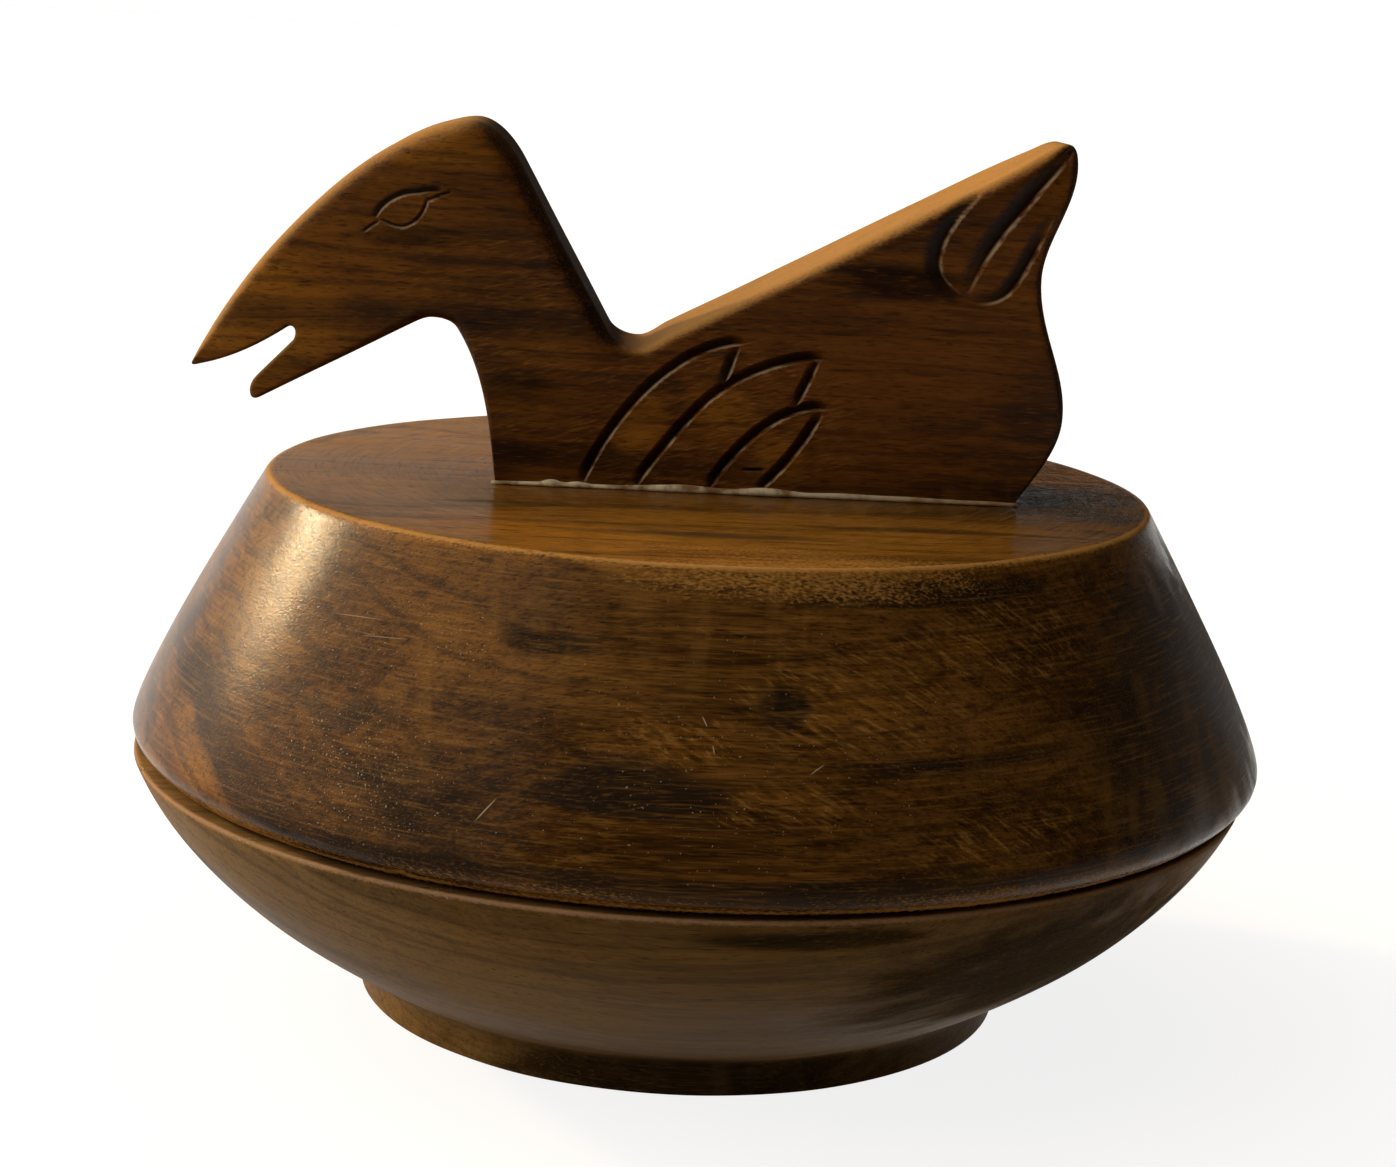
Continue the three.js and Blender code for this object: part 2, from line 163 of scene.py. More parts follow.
@dataclass(frozen=True)
class Figure:
    """What the wood of one piece shows at known places.

    The dark spots are mineral streaks and painted shade, the golden ones are heartwood and painted light,
    curls are where the fibres run out of line, dust is where pale specks cling and rubs are where the
    lacquer has worn off beside an edge.
    """

    stains_and_shade: tuple[Spot, ...] = ()
    flames_and_light: tuple[Spot, ...] = ()
    curls: tuple[Spot, ...] = ()
    dust: tuple[Spot, ...] = ()
    rubs: tuple[Spot, ...] = ()

    def store(self, mesh: bpy.types.Mesh) -> None:
        """Stores how strong each kind is at each point of a mesh.

        Args:
            mesh: the mesh that gets the numbers.
        """
        places = np.array([vertex.co for vertex in mesh.vertices])
        # The name "flame" is kept by the renderer for smoke, so the golden wood, with the painted light
        # among it, has another.
        kinds = {
            "stain_and_shade": self.stains_and_shade,
            "golden": self.flames_and_light,
            "curl": self.curls,
            "dust": self.dust,
            "rub": self.rubs,
        }
        for name, spots in kinds.items():
            levels = [spot.spread(places) for spot in spots]
            paint(mesh, name, np.max(levels, axis=0) if levels else np.zeros(len(places)))


@dataclass(frozen=True)
class Scratch:
    """A fine pale scratch in the lacquer between two places, given in millimetres in the frame."""

    start: Triple
    end: Triple
    half_width: float = 0.17
    share: float = 0.75
    half_depth: float = 2.5

    # How much the lid's side looks up for each share that it looks out.
    LEAN = 0.5

    def mapping(self) -> dict[str, Triple]:
        """Fits a flat lens to the scratch, with its depth away from the turning axis.

        Returns:
            The lens's place, turn and half sizes, by the names of a mapping node's sockets.
        """
        start, end = Vector(self.start), Vector(self.end)
        centre = (start + end) / 2
        along = (end - start).normalized()
        outward = Vector((centre.x, centre.y, 0.0)).normalized() + Vector((0.0, 0.0, self.LEAN))
        outward = (outward - outward.dot(along) * along).normalized()
        turn = Matrix((along, outward.cross(along), outward)).transposed().to_euler()
        sizes = (0.5 * (end - start).length, self.half_width, self.half_depth)
        scale = tuple(MM * size for size in sizes)
        return {"Location": tuple(centre * MM), "Rotation": tuple(turn), "Scale": scale}


class Pattern(Enum):
    """The noise patterns of the wood: where each starts, so that no two run alike, and its detail."""

    FIBRES = (0.0, 2.0)
    DRIFT = (3.0, 2.0)
    STRANDS = (5.0, 2.0)
    PATCHES = (7.0, 3.0)
    PORES = (11.0, 1.0)
    RAGGED = (13.0, 3.0)
    RIPPLE = (17.0, 2.0)
    SHIMMER = (23.0, 1.0)
    SPECKS = (31.0, 0.0)
    CRUMBS = (37.0, 4.0)
    CHIPS = (41.0, 2.0)


@dataclass(frozen=True)
class Mask:
    """Where a coat shows.

    It is missing where a pattern is at the first level and full where it is at the second, and it
    shows only within another mask.
    """

    pattern: Source
    missing: float
    full: float
    within: Source | float = 1.0

    def strength(self, tree: bpy.types.NodeTree) -> bpy.types.Node:
        """Adds the nodes that work it out.

        Args:
            tree: the node tree that gets them.

        Returns:
            The node whose output is 0 where the coat is missing and 1 where it covers.
        """
        ends = {"Value": self.pattern, "From Min": self.missing, "From Max": self.full}
        step = add_node(tree, "ShaderNodeMapRange", {"interpolation_type": "SMOOTHSTEP"}, ends)
        return add_node(tree, "ShaderNodeMath", MULTIPLY, {0: step, 1: self.within})


@dataclass(frozen=True)
class Coat:
    """A tone that lies over the wood where its mask lets it, with its share of the colour there."""

    mask: Mask | Source
    tone: str
    share: float


@dataclass(frozen=True)
class WoodFinish:
    """Brown tropical hardwood such as monkeypod, turned or carved, dyed and wiped with satin lacquer.

    To the eye it is a dark brown with long soft streaks along X, short glinting fibres, open pores,
    a slight ripple across the grain, and a golden tone where hands and cloths have rubbed it, partly as a
    painted highlight on the bird's edges that face the lamps.
    """

    name: str
    body: str
    light: str
    streak: str
    worn: str = "#bf8a45"
    # Pale fresh-cut wood on the gouge walls, raised into a painted highlight.
    raw_and_highlight: str = "#cbb392"
    # The flame tone also paints light in some spots on the lit sides and tops.
    flame: str = "#b07322"
    # This dark tone serves the mineral streaks and also paints shade.
    stain_and_shade: str = "#120d07"
    # The cut tone darkens the open pores and paints the shade in the gouge strokes.
    cut: str = "#0e0804"
    speck: str = "#cbb794"
    # Where the log's pith lies beside the piece, in Y and Z, and how the layers round it run.
    pith: Plane = (40 * MM, -260 * MM)
    taper: float = 0.04
    drift: float = 26 * MM
    drift_length: float = 150 * MM
    drift_width: float = 55 * MM
    streak_width: float = 17 * MM
    line_width: float = 2.2 * MM
    patch_length: float = 90 * MM
    patch_width: float = 26 * MM
    strand_width: float = 1.5 * MM
    strand_length: float = 34 * MM
    # Real fibres are about 0.2 mm wide. They are drawn wider, so that a render shows them.
    fibre_width: float = 0.36 * MM
    fibre_length: float = 7 * MM
    pore_width: float = 0.4 * MM
    pore_length: float = 4 * MM
    pore_depth: float = 0.6
    ripple_length: float = 5 * MM
    ripple_width: float = 15 * MM
    shimmer_length: float = 60 * MM
    shimmer_width: float = 40 * MM
    # Fibres that curl out of line, as in the crotch of a branch, with their turn in degrees.
    feather_turn: float = 28.0
    feather_length: float = 7 * MM
    feather_width: float = 0.9 * MM
    feathering: float = 0.6
    # The ragged edges of stains, flames and rubbed places.
    ragged_length: float = 40 * MM
    ragged_width: float = 6 * MM
    ragged_wear: float = 0.7
    ragged_flame: float = 0.5
    crumb_width: float = 0.42 * MM
    crumb_stretch: float = 2.4
    crumb_wear: float = 1.7
    crumble: float = 1.0
    chip_length: float = 8 * MM
    chip_width: float = 3 * MM
    speck_width: float = 0.4 * MM
    dustiness: float = 0.25
    # Fine lines that sanding on the lathe leaves round the axis, at the girth's own radius.
    girth: float = 110 * MM
    sanding_length: float = 12 * MM
    sanding_width: float = 0.55 * MM
    sanding: float = 0.0
    smoothest: float = 0.15
    roughest: float = 0.27
    gloss: float = 0.075
    dullness: float = 0.35
    relief: float = 0.1 * MM
    relief_share: float = 0.5
    streak_share: float = 0.9
    contrast: float = 0.6
    seed: float = 0.0
    scratches: tuple[Scratch, ...] = ()

    def material(self) -> bpy.types.Material:
        """Makes the finish.

        Returns:
            The material, whose pattern runs through the solid wood in the frame's axes.
        """
        material = bpy.data.materials.new(self.name)
        material.use_nodes = True
        tree = material.node_tree
        place = add_node(tree, "ShaderNodeTexCoord", {}, {}).outputs["Object"]
        stored = {name: add_node(tree, "ShaderNodeAttribute", {"attribute_name": name}, {}).outputs["Fac"]
                  for name in STORED}
        fibres = self._grain(tree, place, Pattern.FIBRES, self.fibre_length, self.fibre_width)
        patches = self._grain(tree, place, Pattern.PATCHES, self.patch_length, self.patch_width)
        ragged = self._grain(tree, place, Pattern.RAGGED, self.ragged_length, self.ragged_width)
        unevenness = add_node(tree, "ShaderNodeMath", SUBTRACT, {0: ragged, 1: NOISE_MIDDLE})
        holes = self._grain(tree, place, Pattern.PORES, self.pore_length, self.pore_width)
        pores = Mask(holes, 0.6, 0.7).strength(tree)
        rubbed = self._rubbed(tree, place, stored, unevenness)
        # Dark spots and the painted shade of the back edges and shaded sides darken alike.
        darkest = add_node(tree, "ShaderNodeMath", LARGER, {0: stored["stain_and_shade"], 1: stored["painted_back_shade"]})
        dark = add_node(tree, "ShaderNodeMath", ADD, {0: darkest, 1: unevenness})
        stain_and_shade_mask = Mask(dark, 0.15, 0.7).strength(tree)

        coats = self._figure_coats(tree, place, stored, patches, unevenness)
        # Darkens the dark spots and paints the shade on the back edges and the shaded sides.
        coats += [Coat(stain_and_shade_mask, self.stain_and_shade, 0.8)]
        coats += self._surface_coats(tree, place, fibres, pores)
        coats += self._wear_coats(tree, place, stored, rubbed)
        colour = linear(self.body)
        for coat in coats:
            strength = coat.mask.strength(tree) if isinstance(coat.mask, Mask) else coat.mask
            factor = add_node(tree, "ShaderNodeMath", MULTIPLY, {0: strength, 1: coat.share})
            mix = {"Factor": factor, "A": colour, "B": linear(coat.tone)}
            colour = add_node(tree, "ShaderNodeMix", {"data_type": "RGBA"}, mix)

        sunk = {0: pores, 1: -self.pore_depth, 2: fibres}
        height = add_node(tree, "ShaderNodeMath", MULTIPLY_ADD, sunk)
        raised = {"Strength": self.relief_share, "Distance": self.relief, "Height": height}
        bump = add_node(tree, "ShaderNodeBump", {}, raised)
        polish = {"Value": patches, "From Min": 0.3, "From Max": 0.7,
                  "To Min": self.smoothest, "To Max": self.roughest}
        polished = add_node(tree, "ShaderNodeMapRange", {}, polish)
        # Wood in the dark spots drinks the lacquer and rubbed wood has lost it, so both shine less; the
        # painted shade and painted highlight that share these masks shine less with them.
        bare = add_node(tree, "ShaderNodeMath", LARGER, {0: stain_and_shade_mask, 1: rubbed})
        dulled = {0: bare, 1: self.dullness, 2: polished}
        roughness = add_node(tree, "ShaderNodeMath", MULTIPLY_ADD, dulled)
        shader = tree.nodes["Principled BSDF"]
        tree.links.new(first_output(colour), shader.inputs["Base Color"])
        tree.links.new(first_output(roughness), shader.inputs["Roughness"])
        tree.links.new(bump.outputs["Normal"], shader.inputs["Normal"])
        shader.inputs["Specular IOR Level"].default_value = self.gloss
        return material

    def _grain(
        self,
        tree: bpy.types.NodeTree,
        place: bpy.types.NodeSocket,
        pattern: Pattern,
        length: float,
        width: float,
    ) -> bpy.types.Node:
        """Adds noise whose patches run along the grain.

        Args:
            tree: the node tree that gets it.
            place: the place in the wood that it reads.
            pattern: which pattern it is.
            length: how long its patches are along X.
            width: how wide they are across it.

        Returns:
            The noise.
        """
        start, detail = pattern.value
        stretched = {"Vector": place, "Location": (self.seed + start, 0.0, 0.0),
                     "Scale": (1 / length, 1 / width, 1 / width)}
        spread = add_node(tree, "ShaderNodeMapping", {}, stretched)
        cells = {"Vector": spread, "Scale": 1.0, "Detail": detail}
        return add_node(tree, "ShaderNodeTexNoise", {}, cells)

    def _layers(self, tree: bpy.types.NodeTree, place: bpy.types.NodeSocket) -> list[bpy.types.Node]:
        """Adds the log's layers, which lie round its pith, drift a little and taper along the grain.

        Args:
            tree: the node tree that gets them.
            place: the place in the wood that they read.

        Returns:
            The broad streaks and the fine lines.
        """
        from_pith = add_node(tree, "ShaderNodeVectorMath", SUBTRACT, {0: place, 1: (0.0, *self.pith)})
        taper = {0: from_pith, 1: (self.taper, 1.0, 1.0)}
        tapered = add_node(tree, "ShaderNodeVectorMath", MULTIPLY, taper)
        radius = add_node(tree, "ShaderNodeVectorMath", LENGTH, {0: tapered})
        drift = self._grain(tree, place, Pattern.DRIFT, self.drift_length, self.drift_width)
        drifted = {0: drift, 1: self.drift, 2: radius.outputs["Value"]}
        layer = add_node(tree, "ShaderNodeMath", MULTIPLY_ADD, drifted)
        return [
            add_node(tree, "ShaderNodeTexNoise", {"noise_dimensions": "1D"},
                     {"W": layer, "Scale": 1 / width, "Detail": 2.0})
            for width in (self.streak_width, self.line_width)
        ]

    def _sanding_lines(self, tree: bpy.types.NodeTree, place: bpy.types.NodeSocket) -> bpy.types.Node:
        """Adds the fine lines that sanding leaves round the lathe's axis.

        Args:
            tree: the node tree that gets them.
            place: the place in the wood that they read.

        Returns:
            Noise that is drawn out round the axis.
        """
        parts = add_node(tree, "ShaderNodeSeparateXYZ", {}, {"Vector": place}).outputs
        # The angle is nought at the front, so that its seam lies at the back.
        front = add_node(tree, "ShaderNodeMath", MULTIPLY, {0: parts["Y"], 1: -1.0})
        angle = add_node(tree, "ShaderNodeMath", {"operation": "ARCTAN2"}, {0: parts["X"], 1: front})
        level = add_node(tree, "ShaderNodeVectorMath", MULTIPLY, {0: place, 1: (1.0, 1.0, 0.0)})
        radius = add_node(tree, "ShaderNodeVectorMath", LENGTH, {0: level})
        sizes = {
            "X": (angle, self.girth / self.sanding_length),
            "Y": (radius.outputs["Value"], 1 / self.sanding_width),
            "Z": (parts["Z"], 1 / self.sanding_width),
        }
        unrolled = {
            axis: add_node(tree, "ShaderNodeMath", MULTIPLY, {0: value, 1: scale})
            for axis, (value, scale) in sizes.items()
        }
        flat = add_node(tree, "ShaderNodeCombineXYZ", {}, unrolled)
        return add_node(tree, "ShaderNodeTexNoise", {}, {"Vector": flat, "Scale": 1.0, "Detail": 2.0})

    def _rubbed(
        self,
        tree: bpy.types.NodeTree,
        place: bpy.types.NodeSocket,
        stored: dict[str, bpy.types.NodeSocket],
        unevenness: bpy.types.Node,
    ) -> bpy.types.Node:
        """Adds where the lacquer is rubbed away, with a crumbled edge, which on the bird holds a painted
        highlight on the edges that face the lamps.

        Args:
            tree: the node tree that gets it.
            place: the place in the wood that it reads.
            stored: the numbers that the mesh carries at each point.
            unevenness: how far the edges of all such places wander.

        Returns:
            The strength of the wear and of that painted highlight.
        """
        worn = add_node(tree, "ShaderNodeMath", LARGER, {0: stored["worn"], 1: stored["rub"]})
        crumb_length = self.crumb_stretch * self.crumb_width
        crumbs = self._grain(tree, place, Pattern.CRUMBS, crumb_length, self.crumb_width)
        fine = add_node(tree, "ShaderNodeMath", SUBTRACT, {0: crumbs, 1: NOISE_MIDDLE})
        coarse = add_node(tree, "ShaderNodeMath", MULTIPLY, {0: unevenness, 1: self.ragged_wear})
        edge = {0: fine, 1: self.crumb_wear, 2: coarse}
        crumbled = add_node(tree, "ShaderNodeMath", MULTIPLY_ADD, edge)
        wear = add_node(tree, "ShaderNodeMath", MULTIPLY_ADD, {0: crumbled, 1: self.crumble, 2: worn})
        return Mask(wear, 0.3, 0.95).strength(tree)

    def _figure_coats(
        self,
        tree: bpy.types.NodeTree,
        place: bpy.types.NodeSocket,
        stored: dict[str, bpy.types.NodeSocket],
        patches: bpy.types.Node,
        unevenness: bpy.types.Node,
    ) -> list[Coat]:
        """Adds the wood's own figure: patches, golden heartwood with painted light in some spots, curls,
        strands and the log's layers.

        Args:
            tree: the node tree that gets it.
            place: the place in the wood that it reads.
            stored: the numbers that the mesh carries at each point.
            patches: the broad lighter patches.
            unevenness: how far the edges of the golden spots and curls wander.

        Returns:
            The coats, the lowest first.
        """
        ragged = {0: unevenness, 1: -self.ragged_flame, 2: stored["golden"]}
        flame_and_light = add_node(tree, "ShaderNodeMath", MULTIPLY_ADD, ragged)
        turn = (0.0, math.radians(self.feather_turn), 0.0)
        curled = {"Vector": place, "Rotation": turn,
                  "Scale": (self.feather_length, self.feather_width, self.feather_width)}
        crotch = add_node(tree, "ShaderNodeMapping", TEXTURE, curled)
        curling = {"Vector": crotch, "Scale": 1.0, "Detail": 3.0, "Distortion": 0.6}
        feathers = add_node(tree, "ShaderNodeTexNoise", {}, curling)
        curls = add_node(tree, "ShaderNodeMath", ADD, {0: stored["curl"], 1: unevenness})
        curly = Mask(curls, 0.0, 0.7).strength(tree)
        strands = self._grain(tree, place, Pattern.STRANDS, self.strand_length, self.strand_width)
        streaks, lines = self._layers(tree, place)
        even = Mask(patches, 0.72, 0.4).strength(tree)
        return [
            Coat(Mask(patches, 0.42, 0.66), self.light, 0.7),
            # Golden heartwood, and painted light in the spots on the lit sides and tops.
            Coat(Mask(flame_and_light, 0.05, 1.0), self.flame, 0.9),
            Coat(Mask(feathers, 0.5, 0.7, curly), self.worn, self.feathering),
            Coat(Mask(feathers, 0.5, 0.3, curly), self.streak, self.feathering),
            Coat(Mask(strands, 0.5, 0.7), self.light, self.contrast),
            Coat(Mask(strands, 0.5, 0.3), self.streak, self.contrast),
            Coat(Mask(streaks, 0.5, 0.66, even), self.streak, self.streak_share),
            Coat(Mask(lines, 0.52, 0.7), self.streak, 0.4),
        ]

    def _surface_coats(
        self,
        tree: bpy.types.NodeTree,
        place: bpy.types.NodeSocket,
        fibres: bpy.types.Node,
        pores: bpy.types.Node,
    ) -> list[Coat]:
        """Adds what shows close up: sanding lines, fibres, open pores and a ripple across the grain.

        Args:
            tree: the node tree that gets it.
            place: the place in the wood that it reads.
            fibres: the fine fibres.
            pores: where the pores are open.

        Returns:
            The coats, the lowest first.
        """
        sanding = self._sanding_lines(tree, place)
        ripple = self._grain(tree, place, Pattern.RIPPLE, self.ripple_length, self.ripple_width)
        shimmer = self._grain(tree, place, Pattern.SHIMMER, self.shimmer_length, self.shimmer_width)
        rippled = Mask(ripple, 0.45, 0.7, Mask(shimmer, 0.5, 0.68).strength(tree))
        return [
            Coat(Mask(sanding, 0.5, 0.75), self.worn, self.sanding),
            Coat(Mask(sanding, 0.5, 0.25), self.streak, 2 * self.sanding),
            Coat(Mask(fibres, 0.52, 0.75), self.light, self.contrast),
            Coat(Mask(fibres, 0.5, 0.25), self.streak, self.contrast),
            Coat(pores, self.cut, 0.5),
            Coat(rippled, self.worn, 0.14),
        ]

    def _wear_coats(
        self,
        tree: bpy.types.NodeTree,
        place: bpy.types.NodeSocket,
        stored: dict[str, bpy.types.NodeSocket],
        rubbed: bpy.types.Node,
    ) -> list[Coat]:
        """Adds what tools, hands and time left: rubbed places, dust specks and scratches, with the painted
        shade and painted highlight of the gouge strokes.

        Args:
            tree: the node tree that gets it.
            place: the place in the wood that it reads.
            stored: the numbers that the mesh carries at each point.
            rubbed: where the lacquer is rubbed away.

        Returns:
            The coats, the lowest first.
        """
        broken_highlight = self._grain(tree, place, Pattern.CHIPS, self.chip_length, self.chip_width)
        specks = self._grain(tree, place, Pattern.SPECKS, self.speck_width, self.speck_width)
        clinging = {0: stored["dust"], 1: self.dustiness, 2: specks}
        dust = add_node(tree, "ShaderNodeMath", MULTIPLY_ADD, clinging)
        coats = [
            # Rubbed places, and on the bird's edges that face the lamps a painted highlight.
            Coat(rubbed, self.worn, 0.9),
            # Painted shade on the slopes of the gouge strokes.
            Coat(stored["cut"], self.cut, 0.9),
            # A painted highlight on the gouge walls over their pale fresh-cut wood, broken up by noise.
            Coat(Mask(broken_highlight, 0.36, 0.62, stored["wall"]), self.raw_and_highlight, 0.9),
            Coat(Mask(dust, 0.92, 0.98), self.speck, 0.6),
        ]
        for scratch in self.scratches:
            inside = add_node(tree, "ShaderNodeMapping", TEXTURE, {"Vector": place, **scratch.mapping()})
            off_centre = add_node(tree, "ShaderNodeVectorMath", LENGTH, {0: inside}).outputs["Value"]
            coats.append(Coat(Mask(off_centre, 1.0, 0.7), self.speck, scratch.share))
        return coats


@dataclass(frozen=True)
class GlueFinish:
    """Dried wood glue with sanding dust in it: a dull, lumpy grey beige that takes no polish."""

    name: str = "dried_glue"
    pale: str = "#e6d4b2"
    dirty: str = "#8c6434"
    lump: float = 4 * MM
    lump_depth: float = 0.3 * MM
    roughness: float = 0.7
    # It is palest towards the beak, and gets dirtier along X.
    pale_until: float = 0 * MM
    dirty_from: float = 80 * MM

    def material(self) -> bpy.types.Material:
        """Makes the finish.

        Returns:
            The material.
        """
        material = bpy.data.materials.new(self.name)
        material.use_nodes = True
        tree = material.node_tree
        place = add_node(tree, "ShaderNodeTexCoord", {}, {}).outputs["Object"]
        lumpy = {"Vector": place, "Scale": 1 / self.lump, "Detail": 4.0}
        lumps = add_node(tree, "ShaderNodeTexNoise", {}, lumpy)
        along = add_node(tree, "ShaderNodeSeparateXYZ", {}, {"Vector": place}).outputs["X"]
        clean, wiped = (
            add_node(tree, "ShaderNodeMapRange", {}, {"Value": value, "From Min": low, "From Max": high})
            for value, low, high in ((lumps, 0.35, 0.55), (along, self.dirty_from, self.pale_until))
        )
        paleness = add_node(tree, "ShaderNodeMath", MULTIPLY, {0: clean, 1: wiped})
        tones = {"Factor": paleness, "A": linear(self.dirty), "B": linear(self.pale)}
        colour = add_node(tree, "ShaderNodeMix", {"data_type": "RGBA"}, tones)
        raised = {"Strength": 0.6, "Distance": self.lump_depth, "Height": lumps}
        bump = add_node(tree, "ShaderNodeBump", {}, raised)
        shader = tree.nodes["Principled BSDF"]
        tree.links.new(first_output(colour), shader.inputs["Base Color"])
        tree.links.new(bump.outputs["Normal"], shader.inputs["Normal"])
        shader.inputs["Roughness"].default_value = self.roughness
        return material


def polar(start: Plane, angle: float, distance: float) -> Plane:
    """The point at an angle in degrees and a distance from another point."""
    turn = math.radians(angle)
    return start[0] + distance * math.cos(turn), start[1] + distance * math.sin(turn)


def heading(start: Plane, end: Plane) -> float:
    """The direction in degrees from one point to another."""
    return math.degrees(math.atan2(end[1] - start[1], end[0] - start[0]))


class Stroke:
    """A plane line drawn stretch by stretch at an even step, with a value that follows it."""

    SHORTEST = 5

    def __init__(self, start: Plane, step: float, value: float = 0.0) -> None:
        """Starts the line.

        Args:
            start: its first point.
            step: how far apart its points are.
            value: the followed value at its start.
        """
        self.points: list[Plane] = [start]
        self.values: list[float] = [value]
        self.step = step

    def line_to(self, end: Plane, value: float = 0.0) -> int:
        """Draws a straight stretch.

        Args:
            end: where it ends.
            value: what the followed value is at its end.

        Returns:
            The index of its end.
        """
        start = self.points[-1]
        count = max(1, round(math.dist(start, end) / self.step))
        return self._add(lambda t: tuple(a + t * (b - a) for a, b in zip(start, end)), count, value)

    def sweep_to(
        self,
        end: Plane,
        leave: float,
        arrive: float,
        value: float = 0.0,
        pull: float = CURVE_PULL,
    ) -> int:
        """Draws a curve that leaves and arrives at angles in degrees.

        Args:
            end: where it ends.
            leave: its direction where it starts.
            arrive: its direction where it ends.
            value: what the followed value is at its end.
            pull: how far it runs on in those directions.

        Returns:
            The index of its end.
        """
        start = self.points[-1]
        reach = pull * math.dist(start, end)
        return self.bend_to(polar(start, leave, reach), polar(end, arrive, -reach), end, value)

    def bend_to(self, first: Plane, second: Plane, end: Plane, value: float = 0.0) -> int:
        """Draws a curve that two points pull towards them.

        Args:
            first: the point that pulls its start.
            second: the point that pulls its end.
            end: where it ends.
            value: what the followed value is at its end.

        Returns:
            The index of its end.
        """
        start = self.points[-1]
        corners = [start, first, second, end]
        length = sum(math.dist(a, b) for a, b in zip(corners, corners[1:]))
        count = max(self.SHORTEST, round(length / self.step))

        def place(t: float) -> Plane:
            """The point at a share of the curve."""
            shares = ((1 - t) ** 3, 3 * t * (1 - t) ** 2, 3 * t * t * (1 - t), t**3)
            return tuple(sum(w * c[k] for w, c in zip(shares, corners)) for k in (0, 1))

        return self._add(place, count, value)

    def _add(self, place: Callable[[float], Plane], count: int, value: float) -> int:
        """Adds a stretch in equal shares.

        Args:
            place: gives the point at each share of the stretch.
            count: how many shares there are.
            value: what the followed value is at its end.

        Returns:
            The index of its end.
        """
        before = self.values[-1]
        for share in (step / count for step in range(1, count + 1)):
            self.points.append(place(share))
            self.values.append(before + share * (value - before))
        return len(self.points) - 1


@dataclass(frozen=True)
class HandWork:
    """The slight unevenness that hand tools and sanding leave, always cut into the wood."""

    depth: float = 0.25 * MM
    length: float = 24 * MM
    seed: float = 0.0

    def carve(self, mesh: bpy.types.Mesh) -> None:
        """Sinks each point of a mesh a little along its normal.

        Args:
            mesh: the mesh to change.
        """
        count = len(mesh.vertices)
        places = np.empty(3 * count)
        normals = np.empty(3 * count)
        mesh.vertices.foreach_get("co", places)
        mesh.vertices.foreach_get("normal", normals)
        places = places.reshape(-1, 3)
        start = Vector((self.seed, 0.0, 0.0))
        lumps = [noise.noise(start + Vector(place) / self.length) for place in places]
        sink = self.depth * np.clip(0.5 + 0.5 * np.array(lumps), 0.0, 1.0)
        places -= sink[:, None] * normals.reshape(-1, 3)
        mesh.vertices.foreach_set("co", places.ravel())
        mesh.update()


@dataclass(frozen=True)
class Dent:
    """A knock in a rim: where it is round the axis, how high, how wide and how deep."""

    angle: float
    radius: float
    height: float
    width: float
    depth: float

    def sink(self, points: np.ndarray, centre_x: float) -> np.ndarray:
        """How far it presses each point in.

        Args:
            points: places in the frame, one a row.
            centre_x: where the turning axis stands.

        Returns:
            One depth for each point.
        """
        turn = math.radians(self.angle)
        middle = (centre_x + self.radius * math.cos(turn), self.radius * math.sin(turn), self.height)
        away = np.linalg.norm(points - np.array(middle), axis=1) / self.width
        return self.depth * np.clip(1.0 - away**2, 0.0, 1.0) ** 2


class Skin:
    """A mesh as it is laid: its points, its faces and the numbers that its finish reads at each point."""

    def __init__(self) -> None:
        """Starts with nothing."""
        self.places: list[np.ndarray] = []
        self.faces: list[tuple[int, ...]] = []
        self.levels: dict[str, list[np.ndarray]] = {}
        self.count = 0

    def add(self, places: np.ndarray, levels: dict[str, np.ndarray]) -> None:
        """Adds points.

        Args:
            places: where they are, one a row.
            levels: by name, a number for each of them.
        """
        self.places.append(places)
        self.count += len(places)
        for name, values in levels.items():
            self.levels.setdefault(name, []).append(values)

    def mesh(self, name: str, start: Triple) -> bpy.types.Mesh:
        """Makes the mesh.

        Args:
            name: its name.
            start: where in the frame its own zero lies.

        Returns:
            The mesh, which carries its numbers.
        """
        mesh = bpy.data.meshes.new(name)
        mesh.from_pydata((np.vstack(self.places) + np.array(start)).tolist(), [], self.faces)
        mesh.update()
        for kind, values in self.levels.items():
            paint(mesh, kind, np.concatenate(values))
        return mesh


def make_piece(
    name: str,
    mesh: bpy.types.Mesh,
    finish: WoodFinish | GlueFinish,
    slot: Slot,
    body: str,
    replaced: tuple[str, ...] = (),
    crease: float = 42.0,
) -> bpy.types.Object:
    """Dresses a mesh and seats it on its CAD body.

    Args:
        name: the piece's name.
        mesh: its shape, in the frame's axes.
        finish: its surface.
        slot: the record's slot for it; not used.
        body: the CAD body that it rides on.
        replaced: the CAD nodes that it stands for.
        crease: the angle in degrees from which two faces meet in a sharp line.

    Returns:
        The object.
    """
    mesh.shade_smooth()
    mesh.set_sharp_from_angle(angle=math.radians(crease))
    mesh.materials.append(finish.material())
    piece = bpy.data.objects.new(name, mesh)
    bpy.context.scene.collection.objects.link(piece)
    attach(piece, body)
    if replaced:
        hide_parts(*replaced)
    LOG.info("%s: %d faces on body %s", name, len(mesh.polygons), body)
    return piece


